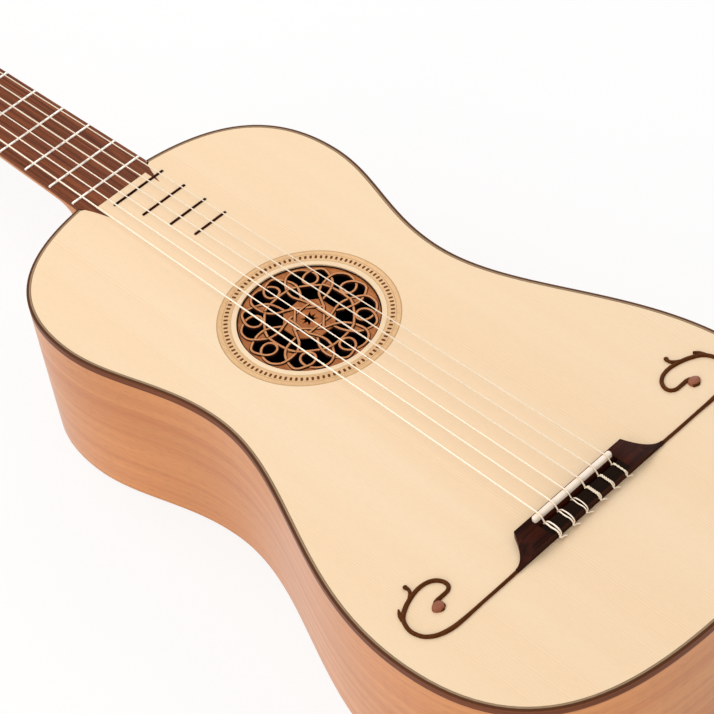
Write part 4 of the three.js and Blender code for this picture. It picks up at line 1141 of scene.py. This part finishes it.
class GUITAR_OT_head(bpy.types.Operator):
    """Flat head with its veneer, pierced for six pegs"""
    bl_idname = "guitar.head"
    bl_label = "Head"

    def execute(self, context):
        corners = [Vector((x * HEAD_HALF, y * HEAD_LENGTH, 0)) for x, y in HEAD_SHARES]
        half = smooth_route(corners[:6], 6)[:-1] + smooth_route(corners[5:], 6)
        outline = half + mirrored(half)
        rim = [ring_point(peg_radius(-VENEER) + PEG_HOLE_GAP, math.pi * k / 12) for k in range(24)]
        holes = [[peg_spot(number)[1] + p for p in rim] for number in range(1, 7)]
        for name, low, high, kind, slot, node, bevel in (
                ("veneered_face", -VENEER, 0.0, "oiled_rosewood", "rosewood", "head_veneer", 0.35),
                ("pierced_headstock", -HEAD_DEPTH, -VENEER - 0.05, "quartered_cherry", "cherry",
                 "headstock", 0.9)):
            bm = bmesh.new()
            fill_between(bm, outline, *holes)
            bmesh.ops.translate(bm, vec=(0, 0, low), verts=bm.verts)
            raise_plate(bm, high - low)
            add_piece(bm, name, [kind], replaces=(node,), place=TO_HEAD, bevel=bevel, bevel_steps=3)
        return {"FINISHED"}


class GUITAR_OT_pegs(bpy.types.Operator):
    """Six turned friction pegs with flat thumb pieces"""
    bl_idname = "guitar.pegs"
    bl_label = "Pegs"

    def execute(self, context):
        collar = -HEAD_DEPTH - 2.0
        profile = [(0.0, PEG_END), (1.6, 14.9), (2.8, 14.3), (3.45, 13.2), (3.5, 12.0), (peg_radius(0), 0.0),
                   (peg_radius(collar), collar), (5.2, collar), (6.0, collar - 0.5), (6.2, collar - 1.5),
                   (6.0, collar - 2.5), (4.6, collar - 3.0), (3.7, collar - 3.5), (3.1, collar - 5.2),
                   (3.2, collar - 7.2), (3.5, collar - 9.0), (2.8, collar - 11.5), (0.0, collar - 12.5)]
        thumb_z = collar - 10 - 8.4
        rings = [(0.0, 1.9), (0.35, 2.0), (0.62, 2.3), (0.82, 2.8), (0.93, 2.9), (0.985, 2.3), (1.0, 1.2)]
        count, around = len(rings), 40

        def thumb_place(row, column):
            level = row if row < count else 2 * count - 1 - row
            share, thick = rings[level]
            turn = 2 * math.pi * column / around
            waist = 1 - 0.10 * max(0.0, math.cos(turn)) ** 6 - 0.05 * max(0.0, -math.cos(turn)) ** 8
            front = 1 if row < count else -1
            reach = THUMB_RADIUS * share * waist
            return Vector((reach * math.sin(turn), front * thick, thumb_z + reach * math.cos(turn)))

        for number in range(1, 7):
            bm = bmesh.new()
            verts = [bm.verts.new((r, 0, z)) for r, z in profile]
            edges = [bm.edges.new(pair) for pair in zip(verts, verts[1:])]
            bmesh.ops.spin(bm, geom=verts + edges, axis=(0, 0, 1), cent=(0, 0, 0), dvec=(0, 0, 0),
                           angle=2 * math.pi, steps=28, use_merge=True)
            weld(bm, 0.002)
            drape(bm, 2 * count - 1, around, thumb_place)
            close_up(bm)
            add_piece(bm, f"turned_peg_{number}", ["turned_plumwood"], body=f"peg_{number}",
                      replaces=(f"peg_{number}",), crease=50,
                      place=TO_HEAD @ Matrix.Translation(peg_spot(number)[1]))
        return {"FINISHED"}


def string_x(number, spread):
    return spread / 2 - (number - 1) * spread / 5


def bent_route(corners, radius=1.1):
    """A route through corners, each rounded by a short bend."""
    route = [corners[0]]
    for before, here, after in zip(corners, corners[1:], corners[2:]):
        back, on = before - here, after - here
        turn = math.pi - back.angle(on)
        reach = min(radius * math.tan(turn / 2), 0.48 * back.length, 0.48 * on.length)
        start, end = here + back.normalized() * reach, here + on.normalized() * reach
        route += interpolate_bezier(start, start.lerp(here, 2 / 3), end.lerp(here, 2 / 3), end, 6)
    return route + [corners[-1]]


def main_run(number, radius, side, spot, around):
    """From the peg over the nut and the saddle, down into the block's hole."""
    rest = radius + GAP
    nut_point = Vector((string_x(number, NUT_SPREAD), STRING_LENGTH, 1.9 + rest))
    leave = TO_HEAD @ (spot + Vector((-side * around, 0, WINDING_LOW)))
    swept = math.hypot(around + radius, 2 * radius)
    stand_off = math.sqrt(swept ** 2 - (around - radius) ** 2) + 0.3
    start = leave - (leave - nut_point).normalized() * stand_off
    x = string_x(number, SADDLE_SPREAD)
    lean = 0.75 * rest
    return bent_route([start, nut_point] + [Vector((x, y, z)) for y, z in (
        (-0.55, SADDLE_TOP + rest), (-2.5 - lean / 4, SADDLE_TOP - 0.225 + rest),
        (-3.4 - lean, SADDLE_TOP - 0.9 + lean), (-CHANNEL_BACK + radius, TIE_HOLE_Z),
        (0.3 - BRIDGE_BACK, TIE_HOLE_Z))])


def string_knot(number, radius):
    """The string's end: out behind the block, twice over it, and tucked in with a short tail."""
    half = sizes().loop_spread / MM / 2
    tail = sizes().knot_tail / MM
    over = BLOCK_TOP + radius + JOINT_GAP
    behind = -BRIDGE_BACK - radius - 0.1
    back, fore = -15.5, -8.3
    if number > 3:
        steps = 7
        points = [(0, back, 3.1), (0, behind - 0.2, 3.1), (-0.5 * half, behind - 0.5, 3.9),
                  (-0.6 * half, behind - 0.1, 5.0), (-0.7 * half, -15.2, over),
                  (-half, -11.8, over + 0.05), (-0.8 * half, -8.4, over), (-0.65 * half, -7.1, 5.2),
                  (-0.6 * half, -6.3, 4.1), (0, -5.45, 3.2), (0.6 * half, -6.0, 3.8),
                  (0.65 * half, -7.0, 5.1), (0.8 * half, -8.4, over), (half, -11.8, over + 0.05),
                  (0.7 * half, -15.2, over), (0.6 * half, behind - 0.1, 4.8),
                  (0.4 * half, behind - 0.6, 3.5), (-half * 0.9, behind - 1.1 * radius - 0.5, 2.9),
                  (-0.2 * half, behind - 2.4 * radius - 0.4, 2.3), (tail * 0.5, behind - 1.6, 1.7),
                  (tail, behind - 2.2, 0.6 + radius)]
    else:
        steps = 3
        twist, turns = (0.42 * half, 2.5) if number > 1 else (0.24 * half, 1.5)
        lap = [(2 * math.pi * turns * share, back + (fore - back) * share) for share in steps_to(1, 20)]

        def twisted(lap, phase):
            return [(-twist * math.cos(turn + phase), y,
                     over + twist * 0.5 * (1 + math.sin(turn + phase))) for turn, y in lap]

        points = [(0, back, 3.1), (0, behind - 0.2, 3.2), (-0.3, behind - 0.3, 4.5), *twisted(lap, 0),
                  (-0.5, -7.3, 5.2), (-0.3, -6.5, 4.0), (0.2, -5.5, 3.1), (0.9, -6.3, 3.9),
                  (0.6, -7.2, 5.3), *twisted(reversed(lap), math.pi), (0.7, behind - 0.2, 4.3),
                  (-0.4, behind - 0.9, 3.1), (tail * 0.5, behind - 1.4, 2.3),
                  (tail, behind - 1.9, 1.2 + radius)]
    middle = Vector((string_x(number, SADDLE_SPREAD), 0, 0))
    return smooth_route([middle + Vector(p) for p in points], steps)


class GUITAR_OT_strings(bpy.types.Operator):
    """Six strings with their knots on the tie block and their turns on the pegs"""
    bl_idname = "guitar.strings"
    bl_label = "Strings"

    def execute(self, context):
        for number, diameter in enumerate(STRING_DIAMETERS, 1):
            radius = diameter / 2
            kind, slot = ("drawn_nylon", "nylon") if number <= 3 else ("silver_winding", "wound_silver")
            side, spot = peg_spot(number)
            around = peg_radius(WINDING_LOW) + radius + GAP
            pitch = diameter + 0.5

            turns, per_turn = [], 24
            for k in range(3 * per_turn + 1):
                at = ring_point(around, 2 * math.pi * k / per_turn)
                turns.append(Vector((-side * at.x, at.y, WINDING_LOW + pitch * k / per_turn)))
            turns.insert(0, turns[0] - Vector((0, diameter, 0)))
            turns.append(turns[-1] + Vector((0, diameter, 0)))
            bm = bmesh.new()
            lay_tube(bm, turns, radius, sides=8)
            close_up(bm)
            add_piece(bm, f"string_turns_{number}", [kind], body=f"peg_{number}",
                      replaces=(f"winding_{number}",), crease=70,
                      place=TO_HEAD @ Matrix.Translation(spot))

            bm = bmesh.new()
            lay_tube(bm, main_run(number, radius, side, spot, around), radius, sides=12)
            lay_tube(bm, string_knot(number, radius), radius, sides=10)
            close_up(bm)
            add_piece(bm, f"strung_string_{number}", [kind], replaces=(f"string_{number}",), crease=70)
        return {"FINISHED"}


class GUITAR_OT_inner_woodwork(bpy.types.Operator):
    """Finish for the blocks, linings and bars inside the body"""
    bl_idname = "guitar.inner_woodwork"
    bl_label = "Inner woodwork"

    def execute(self, context):
        for name in ("neck_block", "tail_block", "top_lining", "back_lining", "top_bar_upper",
                     "top_bar_lower", "back_bar_upper", "back_bar_lower", "rose_seat_ring"):
            # Bars and the rose's seat ring are painted nearly black as shade inside the body
            hidden = "sooted_spruce" if "bar" in name or "seat" in name else "bare_spruce"
            for material_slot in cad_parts[name].material_slots:
                material_slot.material = finish(hidden)
        return {"FINISHED"}


class GUITAR_OT_stage(bpy.types.Operator):
    """Camera, floor, lamps and sky"""
    bl_idname = "guitar.stage"
    bl_label = "Stage"

    def execute(self, context):
        scene = context.scene
        stage = scene.guitar_stage
        scene.view_settings.view_transform = "Standard"

        lens = bpy.data.cameras.new("photo_camera")
        lens.lens = CAMERA_LENS
        lens.sensor_width = 36.0
        lens.clip_end = 50.0
        camera = bpy.data.objects.new("photo_camera", lens)
        camera.location = SADDLE_LINE + CAMERA_PLACE
        camera.rotation_euler = Euler([math.radians(a) for a in CAMERA_TURN])
        scene.collection.objects.link(camera)
        scene.camera = camera

        bm = bmesh.new()
        bmesh.ops.create_grid(bm, x_segments=1, y_segments=1, size=12.0)
        bmesh.ops.translate(bm, vec=(0, 0, -0.0003), verts=bm.verts)
        mesh = bpy.data.meshes.new("pale_floor")
        bm.to_mesh(mesh)
        bm.free()
        floor = bpy.data.objects.new("pale_floor", mesh)
        scene.collection.objects.link(floor)
        mesh.materials.append(floor_paper(stage.floor_glow))

        world = bpy.data.worlds.new("white_room")
        scene.world = world
        world.use_nodes = True
        tree = world.node_tree
        tree.nodes.clear()
        seen = seen_directly(tree)
        level = add_node(tree, "MapRange", {"Value": seen, 3: stage.sky_level, 4: 1.0})
        sky = add_node(tree, "Background", {"Color": (1, 1, 1, 1), "Strength": level.outputs[0]})
        add_node(tree, "OutputWorld", {"Surface": sky.outputs[0]})

        for name, power, size, spot, aim in (
                ("key_lamp", stage.key_power, 1.6, (-0.5, 0.9, 1.9), (0, 0, 0.1)),
                ("side_lamp", stage.fill_power, 1.0, (-1.5, -0.7, 0.7), (-0.1, 0, 0.05)),
                ("back_lamp", stage.back_power, 1.0, (1.4, 0.9, 1.3), (0, 0, 0.1))):
            light = bpy.data.lights.new(name, "AREA")
            light.shape = "SQUARE"
            light.size = size
            light.energy = power
            lamp = bpy.data.objects.new(name, light)
            lamp.location = spot
            lamp.rotation_euler = (Vector(aim) - Vector(spot)).to_track_quat("-Z", "Y").to_euler()
            scene.collection.objects.link(lamp)
        return {"FINISHED"}


def seen_directly(tree):
    """Whether a ray comes straight from the camera, or by a mirror or through glass."""
    path = add_node(tree, "LightPath")
    mirror = add_node(tree, "Math", {0: path.outputs["Is Camera Ray"], 1: path.outputs["Is Glossy Ray"]},
                      operation="MAXIMUM")
    glass = add_node(tree, "Math", {0: mirror.outputs[0], 1: path.outputs["Is Transmission Ray"]},
                     operation="MAXIMUM")
    return glass.outputs[0]


def floor_paper(glow):
    # Matt white paper: it takes the guitar's soft shadow, and part of it reads as plain white
    material = bpy.data.materials.new("white_paper_sweep")
    material.use_nodes = True
    tree = material.node_tree
    tree.nodes.clear()
    paper = add_node(tree, "BsdfDiffuse", {"Color": (*linear("#fafaf8"), 1)})
    white = add_node(tree, "Emission", {"Color": (1, 1, 1, 1), "Strength": 1.0})
    share = add_node(tree, "Math", {0: seen_directly(tree), 1: glow}, operation="MULTIPLY")
    mixed = add_node(tree, "MixShader", {0: share.outputs[0], 1: paper.outputs[0], 2: white.outputs[0]})
    add_node(tree, "OutputMaterial", {"Surface": mixed.outputs[0]})
    return material


PIECES = (
    GUITAR_OT_stage, GUITAR_OT_soundboard, GUITAR_OT_edging, GUITAR_OT_ribs, GUITAR_OT_back,
    GUITAR_OT_rosette, GUITAR_OT_rose, GUITAR_OT_bridge, GUITAR_OT_bones, GUITAR_OT_moustaches,
    GUITAR_OT_fingerboard, GUITAR_OT_frets, GUITAR_OT_neck, GUITAR_OT_head, GUITAR_OT_pegs,
    GUITAR_OT_strings, GUITAR_OT_inner_woodwork,
)


class GUITAR_PT_panel(bpy.types.Panel):
    """Sizes, colours and pieces of the guitar"""
    bl_idname = "GUITAR_PT_panel"
    bl_label = "Baroque guitar"
    bl_space_type = "VIEW_3D"
    bl_region_type = "UI"
    bl_category = "Guitar"

    def draw(self, context):
        for group in (context.scene.guitar_sizes, context.scene.guitar_colours,
                      context.scene.guitar_stage):
            box = self.layout.box()
            for name in group.__annotations__:
                box.prop(group, name)
        for piece in PIECES:
            self.layout.operator(piece.bl_idname)


GROUPS = (GuitarSizes, GuitarColours, GuitarStage)


def register():
    for cls in (*GROUPS, *PIECES, GUITAR_PT_panel):
        bpy.utils.register_class(cls)
    bpy.types.Scene.guitar_sizes = PointerProperty(type=GuitarSizes)
    bpy.types.Scene.guitar_colours = PointerProperty(type=GuitarColours)
    bpy.types.Scene.guitar_stage = PointerProperty(type=GuitarStage)


def unregister():
    del bpy.types.Scene.guitar_stage
    del bpy.types.Scene.guitar_colours
    del bpy.types.Scene.guitar_sizes
    for cls in reversed((*GROUPS, *PIECES, GUITAR_PT_panel)):
        bpy.utils.unregister_class(cls)


def main():
    register()
    for piece in PIECES:
        family, name = piece.bl_idname.split(".")
        getattr(getattr(bpy.ops, family), name)()


if __name__ == "__main__":
    main()
